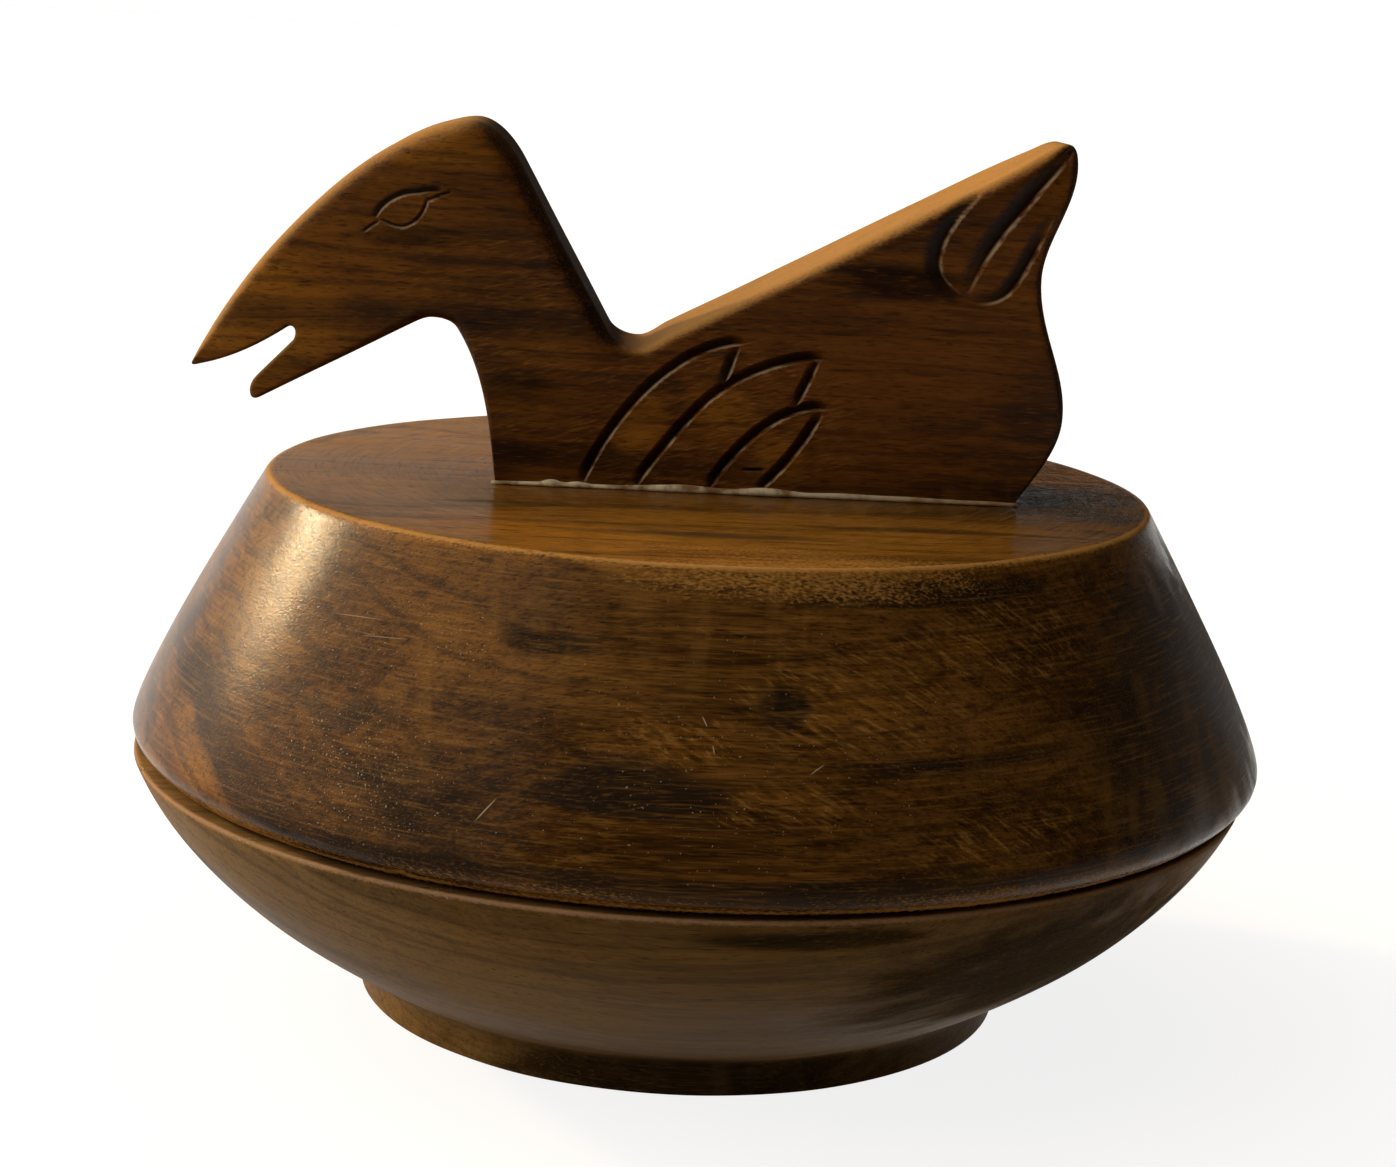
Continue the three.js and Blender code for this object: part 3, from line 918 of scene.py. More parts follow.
@dataclass
class Turned:
    """A piece turned on a lathe about a vertical axis, from a section of radius against height."""

    facets: int = 320
    step: float = 2.0 * MM
    centre_x: float = 0.0
    rub_reach: float = 1.6 * MM
    hand: HandWork = HandWork()
    figure: Figure = Figure()

    def turn(self, name: str, section: Stroke, rubbed: list[Plane], dents: list[Dent]) -> bpy.types.Mesh:
        """Turns a section into a closed mesh.

        Args:
            name: the mesh's name.
            section: the section, from the axis underneath to the axis on top.
            rubbed: the edges of the section that are rubbed, by radius and height.
            dents: the knocks in it.

        Returns:
            The mesh, with its rubbed edges stored as worn.
        """
        angles = np.linspace(0.0, 2 * math.pi, self.facets, endpoint=False)
        circle = np.column_stack([np.cos(angles), np.sin(angles)])
        skin = Skin()
        rings: list[range] = []
        for radius, height in section.points:
            ring = circle if radius > 0 else circle[:1]
            nearest = min(math.dist((radius, height), edge) for edge in rubbed)
            worn = math.exp(-((nearest / self.rub_reach) ** 2))
            rings.append(range(skin.count, skin.count + len(ring)))
            places = np.hstack([radius * ring, np.full((len(ring), 1), height)])
            skin.add(places, {"worn": np.full(len(ring), worn)})
        for lower, upper in zip(rings, rings[1:]):
            for i in range(self.facets):
                j = (i + 1) % self.facets
                corners = [lower[i % len(lower)], lower[j % len(lower)]]
                corners += [upper[j % len(upper)], upper[i % len(upper)]]
                # At the axis two corners are the same point, so the face is a triangle.
                skin.faces.append(tuple(dict.fromkeys(corners)))
        mesh = skin.mesh(name, (self.centre_x, 0.0, 0.0))
        self.hand.carve(mesh)
        self._knock(mesh, dents)
        self.figure.store(mesh)
        return mesh

    def _knock(self, mesh: bpy.types.Mesh, dents: list[Dent]) -> None:
        """Presses the dents into a mesh along its normals.

        Args:
            mesh: the mesh to change.
            dents: the knocks in it.
        """
        places = np.array([vertex.co for vertex in mesh.vertices])
        normals = np.array([vertex.normal for vertex in mesh.vertices])
        for dent in dents:
            places -= dent.sink(places, self.centre_x)[:, None] * normals
        mesh.vertices.foreach_set("co", places.ravel())
        mesh.update()


@dataclass
class Bowl(Turned):
    """The bowl, on its foot ring, with a flat rim that the lid's edge stands on."""

    foot_radius: float = 72.5 * MM
    foot_flare: float = 2 * MM
    foot_height: float = 8.4 * MM
    foot_ring: float = 12 * MM
    foot_recess: float = 3 * MM
    foot_round: float = 1 * MM
    foot_wall_angle: float = 80.0
    rim_width: float = 12 * MM
    rim_round: float = 1.2 * MM
    floor: float = 11 * MM
    register: float = 6.3 * MM
    underside_angle: float = 29.0
    lip_angle: float = 66.0
    rub_reach: float = 0.9 * MM

    def build(self, finish: WoodFinish) -> None:
        """Draws the section, turns it and seats it.

        Args:
            finish: its surface.
        """
        _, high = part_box("bowl")
        radius, rim = high.x, high.z
        inner = radius - self.rim_width
        recess = self.foot_radius - self.foot_ring
        foot = self.foot_radius
        section = Stroke((0.0, self.foot_recess), self.step)
        section.line_to((recess - self.foot_recess, self.foot_recess))
        section.line_to((recess, 0.0))
        section.line_to((foot - self.foot_round, 0.0))
        section.bend_to((foot, 0.0), (foot, 0.0), (foot, self.foot_round))
        flare = (foot + self.foot_flare, self.foot_height)
        section.sweep_to(flare, self.foot_wall_angle, self.underside_angle)
        lip = (radius, rim - self.rim_round)
        section.sweep_to(lip, self.underside_angle, self.lip_angle)
        section.bend_to((radius, rim), (radius, rim), (radius - self.rim_round, rim))
        section.line_to((inner + self.rim_round, rim))
        section.bend_to((inner, rim), (inner, rim), (inner, rim - self.rim_round))
        section.line_to((inner, rim - self.register))
        bottom = (0.0, self.foot_recess + self.floor)
        section.sweep_to(bottom, self.lip_angle - 180, 180.0, pull=HOLLOW_PULL)
        dents = [Dent(198, radius, rim, 3 * MM, 1.1 * MM), Dent(238, radius, rim, 2.2 * MM, 0.8 * MM)]
        rubbed = [(radius - self.rim_round / 3, rim - self.rim_round / 3)]
        mesh = self.turn("turned_bowl", section, rubbed, dents)
        make_piece("turned_bowl", mesh, finish, Slot.BOWL, "bowl", ("bowl",))


@dataclass
class Lid(Turned):
    """The lid, a hollow truncated cone with a spigot that drops inside the bowl's rim."""

    rub_reach: float = 1.1 * MM
    seat_gap: float = 0.3 * MM
    seat_inset: float = 2.1 * MM
    girth_height: float = 5.4 * MM
    edge_angle: float = 40.0
    top_radius: float = 96.8 * MM
    top_thickness: float = 15.8 * MM
    top_round: float = 2.2 * MM
    side_angle: float = 120.5
    side_pull: float = 0.36
    ceiling_radius: float = 80 * MM
    rim_width: float = 12 * MM
    spigot_clearance: float = 2 * MM
    spigot_width: float = 5.5 * MM

    def build(self, finish: WoodFinish) -> None:
        """Draws the section, turns it and seats it.

        Args:
            finish: its surface.
        """
        low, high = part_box("lid")
        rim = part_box("bowl")[1]
        self.centre_x = (low.x + high.x) / 2
        seat = rim.z + self.seat_gap
        top = high.z
        girth = (high.x - low.x) / 2
        spigot = rim.x - self.rim_width - self.spigot_clearance
        ceiling = top - self.top_thickness
        corner = (self.top_radius, top)
        side_top = polar(corner, self.side_angle, -self.top_round)
        section = Stroke((0.0, ceiling), self.step)
        section.line_to((self.ceiling_radius, ceiling))
        section.sweep_to((spigot - self.spigot_width, low.z), 0.0, -90.0, pull=HOLLOW_PULL)
        section.line_to((spigot, low.z))
        section.line_to((spigot, seat))
        section.line_to((rim.x - self.seat_inset, seat))
        section.sweep_to((girth, seat + self.girth_height), self.edge_angle, 90.0)
        upper = polar(side_top, self.side_angle, -self.side_pull * (top - seat))
        section.bend_to((girth, seat + 2 * self.girth_height), upper, side_top)
        section.bend_to(corner, corner, (self.top_radius - self.top_round, top))
        section.line_to((0.0, top))
        rubbed = [(rim.x - self.seat_inset / 2, seat + self.girth_height / 4), corner]
        dents = [Dent(242, rim.x, seat + 1 * MM, 2.5 * MM, 0.9 * MM)]
        mesh = self.turn("turned_lid", section, rubbed, dents)
        make_piece("turned_lid", mesh, finish, Slot.LID, "lid", ("lid",))


@dataclass(frozen=True)
class Cut:
    """A gouge stroke: a long shaded slope on the left of its path and a steep wall on the right.

    Its path starts at a point and turns towards each next one, given with the angles in degrees at
    which the path leaves the last point and arrives there.
    """

    start: Plane
    turns: tuple[tuple[Plane, float, float], ...]
    slope: float = 2.0
    wall: float = 0.6
    depth: float = 1.4
    fade: float = 3.0

    # How far apart its points are in millimetres, and how far past its banks the last row runs.
    STEP = 0.5
    RIM = 0.7
    # The width and the depth that are left at its ends, as shares of the full ones.
    NARROWEST = 0.45
    SHALLOWEST = 0.05

    def path(self) -> np.ndarray:
        """Draws its bottom line.

        Returns:
            The line in metres, one point a row, with the depth there as the third number.
        """
        line = Stroke(self.start, self.STEP)
        for end, leave, arrive in self.turns:
            line.sweep_to(end, leave, arrive)
        points = np.array(line.points)
        steps = np.linalg.norm(np.diff(points, axis=0), axis=1)
        run = np.concatenate([[0.0], np.cumsum(steps)])
        ends = np.minimum(run, run[-1] - run) / self.fade
        depth = self.depth * np.sqrt(np.clip(ends + self.SHALLOWEST, 0.0, 1.0))
        return np.column_stack([points, depth]) * MM

    def guides(self) -> np.ndarray:
        """Spreads points along its bottom, its two banks and between them, so that the mesh follows it.

        Returns:
            The plane points in metres, one a row.
        """
        path = self.path()[:, :2]
        ahead = np.gradient(path, axis=0)
        ahead /= np.linalg.norm(ahead, axis=1)[:, None]
        right = np.column_stack([ahead[:, 1], -ahead[:, 0]])
        slopes = np.linspace(0.0, -self.slope, max(3, round(self.slope / self.STEP)))
        rim = self.RIM * self.STEP
        walls = (0.5 * self.wall, self.wall, self.wall + rim, -self.slope - rim)
        return np.vstack([path + bank * MM * right for bank in (*slopes, *walls)])

    def profile(self, points: np.ndarray) -> tuple[np.ndarray, np.ndarray, np.ndarray]:
        """How it meets plane points.

        Args:
            points: plane points in metres, one a row.

        Returns:
            The depth there, the place across it from -1 at the slope's edge over 0 at the bottom to 1
            at the wall's edge, and the share of its full depth that its bottom has beside the point.
        """
        path = self.path()
        ahead = np.gradient(path[:, :2], axis=0)
        ahead /= np.linalg.norm(ahead, axis=1)[:, None]
        away = points[:, None, :] - path[None, :, :2]
        nearest = np.argmin((away**2).sum(axis=2), axis=1)
        rows = np.arange(len(points))
        offset = away[rows, nearest]
        along = ahead[nearest]
        side = offset[:, 0] * along[:, 1] - offset[:, 1] * along[:, 0]
        at_end = (nearest == 0) | (nearest == len(path) - 1)
        beyond = np.where(at_end, (offset * along).sum(axis=1), 0.0)
        bottom = path[nearest, 2]
        share = bottom / (self.depth * MM)
        taper = self.NARROWEST + (1 - self.NARROWEST) * share
        width = np.where(side < 0, self.slope, self.wall) * taper * MM
        reach = np.hypot(side, beyond) / width
        return bottom * np.clip(1.0 - reach, 0.0, 1.0), side / width, share


WING_CUTS = (
    Cut((-27.6, 1.0), (((5.4, 32.4), 68, 5),)),
    Cut((1.2, 22.6), (((4.2, 31.2), 66, 70),)),
    Cut((-16.0, 1.0), (((-3.0, 18.2), 59, 49), ((22.4, 29.8), 46, 4))),
    Cut((16.8, 18.8), (((21.4, 29.2), 60, 70),), slope=1.9),
    Cut((-0.5, 0.8), (((24.0, 19.1), 59, -3),)),
    Cut((10.2, 0.6), (((22.6, 17.6), 43, 66),)),
)
TAIL_CUTS = (
    Cut((51.4, 44.2), (((45.6, 51.8), 162, 92), ((53.6, 66.4), 88, 48)), slope=3.4, wall=0.9, fade=9.0),
    Cut((52.4, 45.6), (((73.4, 75.4), 70, 48),), slope=3.6, wall=0.9, depth=1.7, fade=11.0),
    Cut((53.2, 43.8), (((61.2, 45.8), -22, 48), ((69.2, 61.6), 52, 62)), slope=2.8, wall=0.8, fade=9.0),
)
EYE_CUTS = (
    Cut((-76.2, 52.0), (((-72.8, 54.4), 42, 30),), 0.5, 0.6, 0.6, 1.0),
    Cut((-73.6, 55.2), (((-66.6, 60.6), 70, 12), ((-59.6, 61.7), 6, 5)), 1.3, 0.6, 0.8, 1.5),
    Cut((-72.4, 54.9), (((-67.6, 53.6), -30, 5), ((-62.8, 59.4), 12, 82)), 0.5, 0.6, 0.6, 1.0),
    Cut((-63.4, 59.0), (((-57.6, 61.3), 24, 14),), 0.5, 0.6, 0.5, 1.0),
)
NICK = Cut((6.2, 5.0), (((11.4, 5.2), 0, 4),), 0.6, 0.3, 0.5, 1.5)
ALL_CUTS = (*WING_CUTS, *TAIL_CUTS, *EYE_CUTS, NICK)


@dataclass
class BirdHandle:
    """The bird, sawn from a board, rounded along its edges and carved on both sides.

    Reaches are measured from the lid's axis and heights from the lid's flat top.
    """

    thickness: float = 34 * MM
    beak_thickness: float = 24 * MM
    setback: float = -2 * MM
    edge_round: float = 2.5 * MM
    tail_edge_round: float = 3.8 * MM
    brow_edge_round: float = 5.4 * MM
    beak_edge_round: float = 2.6 * MM
    nape_edge_round: float = 6 * MM
    nape_end_edge_round: float = 4.2 * MM
    tip_edge_round: float = 1.2 * MM
    base_edge_round: float = 0.4 * MM
    base_to_toe: float = 46.7 * MM
    base_to_heel: float = 65.6 * MM
    tail_reach: float = 75.1 * MM
    tail_height: float = 77.6 * MM
    tail_tip_round: float = 4.4 * MM
    tail_tip_length: float = 5.7 * MM
    tail_tip_drop: float = 1.5 * MM
    rump_height: float = 19 * MM
    heel_angle: float = 56.0
    waist_height: float = 48.8 * MM
    waist_inset: float = 6.8 * MM
    saddle_reach: float = 17 * MM
    saddle_height: float = 29.8 * MM
    saddle_round: float = 6.4 * MM
    saddle_rise: float = 3.2 * MM
    crown_reach: float = 54 * MM
    crown_height: float = 76.3 * MM
    nape_round: float = 11 * MM
    nape_drop: float = 9 * MM
    brow_drop: float = 1.4 * MM
    brow_angle: float = 196.0
    brow_pull: float = 0.27
    beak_reach: float = 112.4 * MM
    beak_height: float = 22.1 * MM
    beak_tip_round: float = 1.1 * MM
    beak_tip_angle: float = 246.0
    beak_under_angle: float = 12.0
    mouth_depth: float = 21.9 * MM
    mouth_height: float = 29.2 * MM
    mouth_end_round: float = 1.4 * MM
    mouth_top_angle: float = 35.0
    jaw_setback: float = 12.6 * MM
    jaw_drop: float = 4.4 * MM
    jaw_tip_round: float = 2.3 * MM
    throat_reach: float = 60.9 * MM
    throat_height: float = 34.4 * MM
    throat_round: float = 5 * MM
    throat_drop: float = 1.9 * MM
    neck_angle: float = -56.0
    toe_angle: float = -82.0
    outline_step: float = 0.6 * MM
    tail_step: float = 0.35 * MM
    rounding_steps: int = 12
    wall_steps: int = 12
    grid_step: float = 1.9 * MM
    closest: float = 0.26 * MM
    clearance: float = 1.4
    edge_fit: float = 0.7
    edge_fade: float = 0.35
    edge_stretch: float = 2.0
    tail_narrowing: float = 9 * MM
    tail_narrowing_reach: float = 22 * MM
    rub_everywhere: float = 0.1
    # How much the lighter wear grows on edges that look forward and up, towards the lamps: partly rubbing,
    # partly a painted highlight.
    rub_and_light_forward: float = 0.4
    rub_and_light_upward: float = 0.55
    least_rub: float = 0.03
    most_rub: float = 0.76
    rub_fade: float = 0.9
    # How fast the painted shade on the edges that look back grows, and where it starts.
    back_shade_gain: float = 1.8
    back_shade_start: float = 0.2
    hand: HandWork = HandWork(0.3 * MM, 19 * MM, 40.0)
    figure: Figure = Figure()

    # How fast the painted shade of a gouge stroke grows from its edge and fades up its steep wall, and
    # where the painted highlight on that wall's ridge lies, how bright it is and how fast it falls off.
    SLOPE_SHADE = 2.6
    WALL_SHADE = 4.0
    RIDGE_PLACE = 0.65
    RIDGE_LIGHT = 1.25
    RIDGE_FALL = 2.5
    # Below this bend an outline counts as straight, and points nearer than this in metres are one.
    STRAIGHT = 1e-9
    MERGE = 1e-7

    def outline(self) -> Stroke:
        """Draws the outline from the heel round by the tail and the beak to the toe.

        Returns:
            The outline, whose followed value is the radius of the rounded edge.
        """
        edge = self.edge_round
        tip = self.tip_edge_round
        saddle = (-self.saddle_reach, self.saddle_height)
        saddle_tail = (saddle[0] + self.saddle_round, saddle[1] + self.saddle_rise)
        saddle_nape = (saddle[0] - self.saddle_round, saddle[1] + self.saddle_rise)
        nape_top = (-self.crown_reach + self.nape_round, self.crown_height - self.nape_drop)
        tail_top = (self.tail_reach - self.tail_tip_length, self.tail_height - self.tail_tip_drop)
        beak_top = (-self.beak_reach, self.beak_height + self.beak_tip_round / 2)
        beak_under = (beak_top[0] + self.beak_tip_round, self.beak_height - self.beak_tip_round / 2)
        mouth_end = -self.beak_reach + self.mouth_depth
        mouth_top = (mouth_end - self.mouth_end_round, self.mouth_height + self.mouth_end_round)
        mouth_bottom = (mouth_end - self.mouth_end_round / 2, self.mouth_height - self.mouth_end_round)
        jaw_tip = (-self.beak_reach + self.jaw_setback, self.beak_height - self.jaw_drop)
        jaw_top = (jaw_tip[0] + self.jaw_tip_round / 2, jaw_tip[1] + self.jaw_tip_round)
        jaw_under = (jaw_tip[0] + self.jaw_tip_round, jaw_tip[1] - self.jaw_tip_round)
        throat = (-self.throat_reach, self.throat_height)
        throat_jaw = (throat[0] - self.throat_round, throat[1] - self.throat_drop)
        throat_neck = (throat[0] + self.throat_round, throat[1] - self.throat_drop)
        tail_slope = heading(tail_top, saddle_tail)
        nape_slope = heading(saddle_nape, nape_top)
        mouth_slope = heading(mouth_bottom, jaw_top)
        jaw_slope = heading(jaw_under, throat_jaw)

        line = Stroke((self.base_to_heel, 0.0), self.outline_step, self.base_edge_round)
        line.sweep_to((self.tail_reach, self.rump_height), self.heel_angle, 90, edge)
        line.sweep_to((self.tail_reach - self.waist_inset, self.waist_height), 90, 90, edge)
        line.step = self.tail_step
        line.sweep_to((self.tail_reach, self.tail_height - self.tail_tip_round), 90, 90, edge)
        line.sweep_to(tail_top, 90, tail_slope, self.tail_edge_round, TIP_PULL)
        line.line_to(polar(saddle_tail, tail_slope, -self.saddle_height), self.tail_edge_round)
        line.step = self.outline_step
        line.line_to(saddle_tail, edge)
        line.sweep_to(saddle, tail_slope, 180, edge)
        line.sweep_to(saddle_nape, 180, nape_slope, self.nape_end_edge_round)
        line.line_to(nape_top, self.nape_edge_round)
        line.sweep_to((-self.crown_reach, self.crown_height), nape_slope, 180, self.nape_end_edge_round)
        brow = (-self.throat_reach, self.crown_height - self.brow_drop)
        line.sweep_to(brow, 180, self.brow_angle, self.brow_edge_round)
        line.sweep_to(beak_top, self.brow_angle, self.beak_tip_angle, self.beak_edge_round, self.brow_pull)
        line.sweep_to(beak_under, self.beak_tip_angle, self.beak_under_angle, tip, TIP_PULL)
        line.sweep_to(mouth_top, self.beak_under_angle, self.mouth_top_angle, tip)
        line.sweep_to(mouth_bottom, self.mouth_top_angle, mouth_slope, tip, TIP_PULL)
        line.line_to(jaw_top, tip)
        line.sweep_to(jaw_under, mouth_slope, jaw_slope, tip, TIP_PULL)
        line.line_to(throat_jaw, edge)
        line.sweep_to(throat, jaw_slope, 0, edge)
        line.sweep_to(throat_neck, 0, self.neck_angle, edge)
        line.sweep_to((-self.base_to_toe, 0.0), self.neck_angle, self.toe_angle, self.base_edge_round)
        line.line_to((self.base_to_heel - self.outline_step, 0.0), self.base_edge_round)
        return line

    def half_thickness(self, points: np.ndarray) -> np.ndarray:
        """Works out half the board's thickness, less towards the beak and at the tip of the tail.

        Args:
            points: plane points, one a row.

        Returns:
            Half the thickness at each point.
        """
        head = self.beak_reach - self.throat_reach
        share = np.clip((-self.throat_reach - points[:, 0]) / head, 0.0, 1.0)
        tip = np.linalg.norm(points - np.array((self.tail_reach, self.tail_height)), axis=1)
        near_tip = np.clip(1 - tip / self.tail_narrowing_reach, 0.0, 1.0) ** 2
        half = (self.thickness - (self.thickness - self.beak_thickness) * share) / 2
        return half - self.tail_narrowing * near_tip

    def half_turns(self, points: np.ndarray) -> tuple[np.ndarray, np.ndarray]:
        """Works out how a closed outline turns.

        Args:
            points: the outline, one plane point a row.

        Returns:
            Half the angle by which it turns left at each point, and the direction in which it arrives.
        """
        ahead = np.roll(points, -1, axis=0) - points
        leaving = np.arctan2(ahead[:, 1], ahead[:, 0])
        arriving = np.roll(leaving, 1)
        turn = (leaving - arriving + math.pi) % (2 * math.pi) - math.pi
        return turn / 2, arriving

    def inward(self, points: np.ndarray) -> np.ndarray:
        """Works out the way into the board from its outline.

        Args:
            points: the outline, one plane point a row.

        Returns:
            A step for each point that moves both lines beside it in by one.
        """
        half_turn, arriving = self.half_turns(points)
        toward = arriving + half_turn + math.pi / 2
        stretch = np.minimum(1 / np.cos(half_turn), self.edge_stretch)
        return np.column_stack([np.cos(toward), np.sin(toward)]) * stretch[:, None]

    def fitted_edges(self, points: np.ndarray, wanted: np.ndarray) -> np.ndarray:
        """Draws each rounded edge in where a tip is too tight or too narrow to take it.

        Args:
            points: the outline.
            wanted: the edge radius wanted at each point.

        Returns:
            The radius that fits at each point.
        """
        bends = np.tan(self.half_turns(points)[0])
        spans = np.linalg.norm(np.roll(points, -1, axis=0) - points, axis=1)
        both = bends + np.roll(bends, -1)
        room = np.where(both > 0, self.edge_fit * spans / np.maximum(both, self.STRAIGHT), np.inf)
        fitted = np.minimum(wanted, np.minimum(room, np.roll(room, 1)))
        count = len(points)
        # Each radius grows only so fast along the outline, both ways round and twice over its start.
        for step in range(2 * count):
            here = step % count
            after = (here + 1) % count
            fitted[after] = min(fitted[after], fitted[here] + self.edge_fade * spans[here])
            back = count - 1 - here
            beyond = (back + 1) % count
            fitted[back] = min(fitted[back], fitted[beyond] + self.edge_fade * spans[back])
        return fitted

    def carved(self, points: np.ndarray) -> tuple[np.ndarray, np.ndarray, np.ndarray]:
        """Works out what the gouge strokes do at plane points.

        Args:
            points: plane points, one a row.

        Returns:
            The depth, the painted shade on the slopes and the painted highlight on the steep walls.
        """
        depth = np.zeros(len(points))
        dark = np.zeros(len(points))
        pale = np.zeros(len(points))
        for cut in ALL_CUTS:
            here, side, share = cut.profile(points)
            deepest = here > depth
            slope = np.clip(self.SLOPE_SHADE * (1 + side), 0.0, 1.0)
            wall = np.clip(1 - self.WALL_SHADE * side, 0.0, 1.0)
            dark = np.where(deepest, share * np.where(side < 0, slope, wall), dark)
            off_ridge = np.abs(side - self.RIDGE_PLACE)
            ridge = np.clip(self.RIDGE_LIGHT - self.RIDGE_FALL * off_ridge, 0.0, 1.0)
            pale = np.where(deepest, share**2 * ridge * (side > 0), pale)
            depth = np.maximum(depth, here)
        return depth, dark, pale

    def face_points(self, ring: np.ndarray) -> np.ndarray:
        """Spreads points over a flat side inside its outline: along the gouge strokes, then on a grid.

        Args:
            ring: the side's outline, one plane point a row.

        Returns:
            The points, none nearer to another or to the outline than the closest distance.
        """
        low, high = ring.min(axis=0), ring.max(axis=0)
        across = np.arange(low[0], high[0], self.grid_step)
        up = np.arange(low[1], high[1], self.grid_step)
        sources = [(guide, self.closest) for cut in ALL_CUTS for guide in cut.guides()]
        sources += [(np.array((x, z)), self.grid_step / 2) for x in across for z in up]
        within = self.inside(np.array([point for point, _ in sources]), ring)
        kept: list[np.ndarray] = []
        cells: dict[tuple[int, int], list[np.ndarray]] = {}
        beside = [(i, j) for i in (-1, 0, 1) for j in (-1, 0, 1)]
        for (point, gap), is_within in zip(sources, within):
            if not is_within:
                continue
            column, row = (int(number // self.grid_step) for number in point)
            near = [other for i, j in beside for other in cells.get((column + i, row + j), ())]
            if all((point[0] - q[0]) ** 2 + (point[1] - q[1]) ** 2 > gap * gap for q in near):
                kept.append(point)
                cells.setdefault((column, row), []).append(point)
        return np.array(kept)

    def inside(self, points: np.ndarray, ring: np.ndarray) -> np.ndarray:
        """Says which plane points are within an outline and clear of its line.

        Args:
            points: plane points, one a row.
            ring: the outline, one plane point a row.

        Returns:
            True or false for each point.
        """
        ahead = np.roll(ring, -1, axis=0) - ring
        clear = self.clearance * self.closest
        result = np.zeros(len(points), bool)
        for k, (x, z) in enumerate(points):
            rise = (ring[:, 1] > z) != (np.roll(ring[:, 1], -1) > z)
            crossing = ring[rise, 0] + (z - ring[rise, 1]) / ahead[rise, 1] * ahead[rise, 0]
            if (crossing > x).sum() % 2 == 0:
                continue
            offset = np.array((x, z)) - ring
            share = np.clip((offset * ahead).sum(axis=1) / (ahead**2).sum(axis=1), 0.0, 1.0)
            away = offset - share[:, None] * ahead
            result[k] = (away**2).sum(axis=1).min() > clear**2
        return result

    def rings(self, points: np.ndarray, edges: np.ndarray) -> list[Ring]:
        """Draws the rings that wrap the edge from the near flat side to the far one.

        Args:
            points: the outline.
            edges: the radius of the rounded edge at each point.

        Returns:
            The rings in order.
        """
        half = self.half_thickness(points)
        inward = self.inward(points)
        rounded = []
        for bend in np.linspace(math.pi / 2, 0.0, self.rounding_steps + 1):
            flat = points + inward * (edges * (1 - math.cos(bend)))[:, None]
            rounded.append((flat, half - edges * (1 - math.sin(bend)), math.sin(bend)))
        shares = np.linspace(0, 1, self.wall_steps + 1)[1:-1]
        near = [(flat, -depth, facing) for flat, depth, facing in rounded]
        walls = [(points, (2 * share - 1) * (half - edges), 0.0) for share in shares]
        return near + walls + rounded[::-1]

    def lay_edge(self, skin: Skin, points: np.ndarray, rings: list[Ring]) -> None:
        """Lays the rings round the edge and joins them.

        Args:
            skin: the mesh that gets them.
            points: the outline.
            rings: its rings from the near side to the far one.
        """
        inward = self.inward(points)
        # Hands rub the edges that look up and forward most, and these edges face the lamps, so their paler
        # wear is partly a painted highlight.
        upward = self.rub_and_light_forward * inward[:, 0] - self.rub_and_light_upward * inward[:, 1]
        rubbed_and_lit = np.clip(self.rub_everywhere + upward, self.least_rub, self.most_rub)
        # Painted shade on the edges that look back, away from the lamps, such as the nape's bevel.
        back_shaded = np.clip(-self.back_shade_gain * inward[:, 0] - self.back_shade_start, 0.0, 1.0)
        for k, (flat, depth, facing) in enumerate(rings):
            side = -1 if k < len(rings) / 2 else 1
            # Each ring takes the gouge strokes' painted shade as cut and their painted highlight as wall.
            sink, dark, pale = self.carved(flat)
            skin.add(np.column_stack([flat[:, 0], depth - side * sink * facing, flat[:, 1]]), {
                "worn": rubbed_and_lit * (1 - self.rub_fade * facing**5),
                "cut": dark * facing,
                "wall": pale * facing,
                "painted_back_shade": back_shaded * (1 - facing**4),
            })
        count = len(points)
        for start in range(0, count * (len(rings) - 1), count):
            for i in range(count):
                j = (i + 1) % count
                skin.faces.append((start + i, start + count + i, start + count + j, start + j))

    def lay_side(self, skin: Skin, side: int, ring: np.ndarray, first: int) -> None:
        """Fills a flat side with triangles that follow the gouge strokes.

        Args:
            skin: the mesh that gets them.
            side: -1 for the near side and 1 for the far one.
            ring: the side's outline, one plane point a row.
            first: the index of its first point in the mesh.
        """
        count = len(ring)
        given = [Vector(point) for point in (*ring, *self.face_points(ring))]
        border = [(i, (i + 1) % count) for i in range(count)]
        flat, _, triangles, origins, _, _ = delaunay_2d_cdt(given, border, [], 1, self.MERGE)
        flat = np.array([tuple(point) for point in flat])
        index: list[int] = []
        fresh: list[int] = []
        for k, origin in enumerate(origins):
            on_ring = [given_at for given_at in origin if given_at < count]
            index.append(first + on_ring[0] if on_ring else skin.count + len(fresh))
            if not on_ring:
                fresh.append(k)
        # The side takes the gouge strokes' painted shade as cut and their painted highlight as wall.
        sink, dark, pale = self.carved(flat[fresh])
        depth = side * (self.half_thickness(flat[fresh]) - sink)
        none = np.zeros(len(fresh))
        skin.add(np.column_stack([flat[fresh, 0], depth, flat[fresh, 1]]),
                 {"worn": none, "cut": dark, "wall": pale, "painted_back_shade": none})
        for triangle in triangles:
            corners = [index[corner] for corner in triangle]
            skin.faces.append(tuple(corners if side < 0 else corners[::-1]))

    def build(self, finish: WoodFinish) -> None:
        """Makes the bird's mesh, carves it and seats it on the lid.

        Args:
            finish: its surface.
        """
        lid_low, lid_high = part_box("lid")
        foot = ((lid_low.x + lid_high.x) / 2, self.setback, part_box("bird_handle")[0].z)
        line = self.outline()
        points = np.array(line.points)
        rings = self.rings(points, self.fitted_edges(points, np.array(line.values)))
        skin = Skin()
        self.lay_edge(skin, points, rings)
        last = skin.count - len(points)
        for side, first in ((-1, 0), (1, last)):
            self.lay_side(skin, side, rings[0][0], first)
        mesh = skin.mesh("carved_bird", foot)
        self.hand.carve(mesh)
        self.figure.store(mesh)
        make_piece("carved_bird", mesh, finish, Slot.BIRD, "lid", ("bird_handle",), crease=34.0)


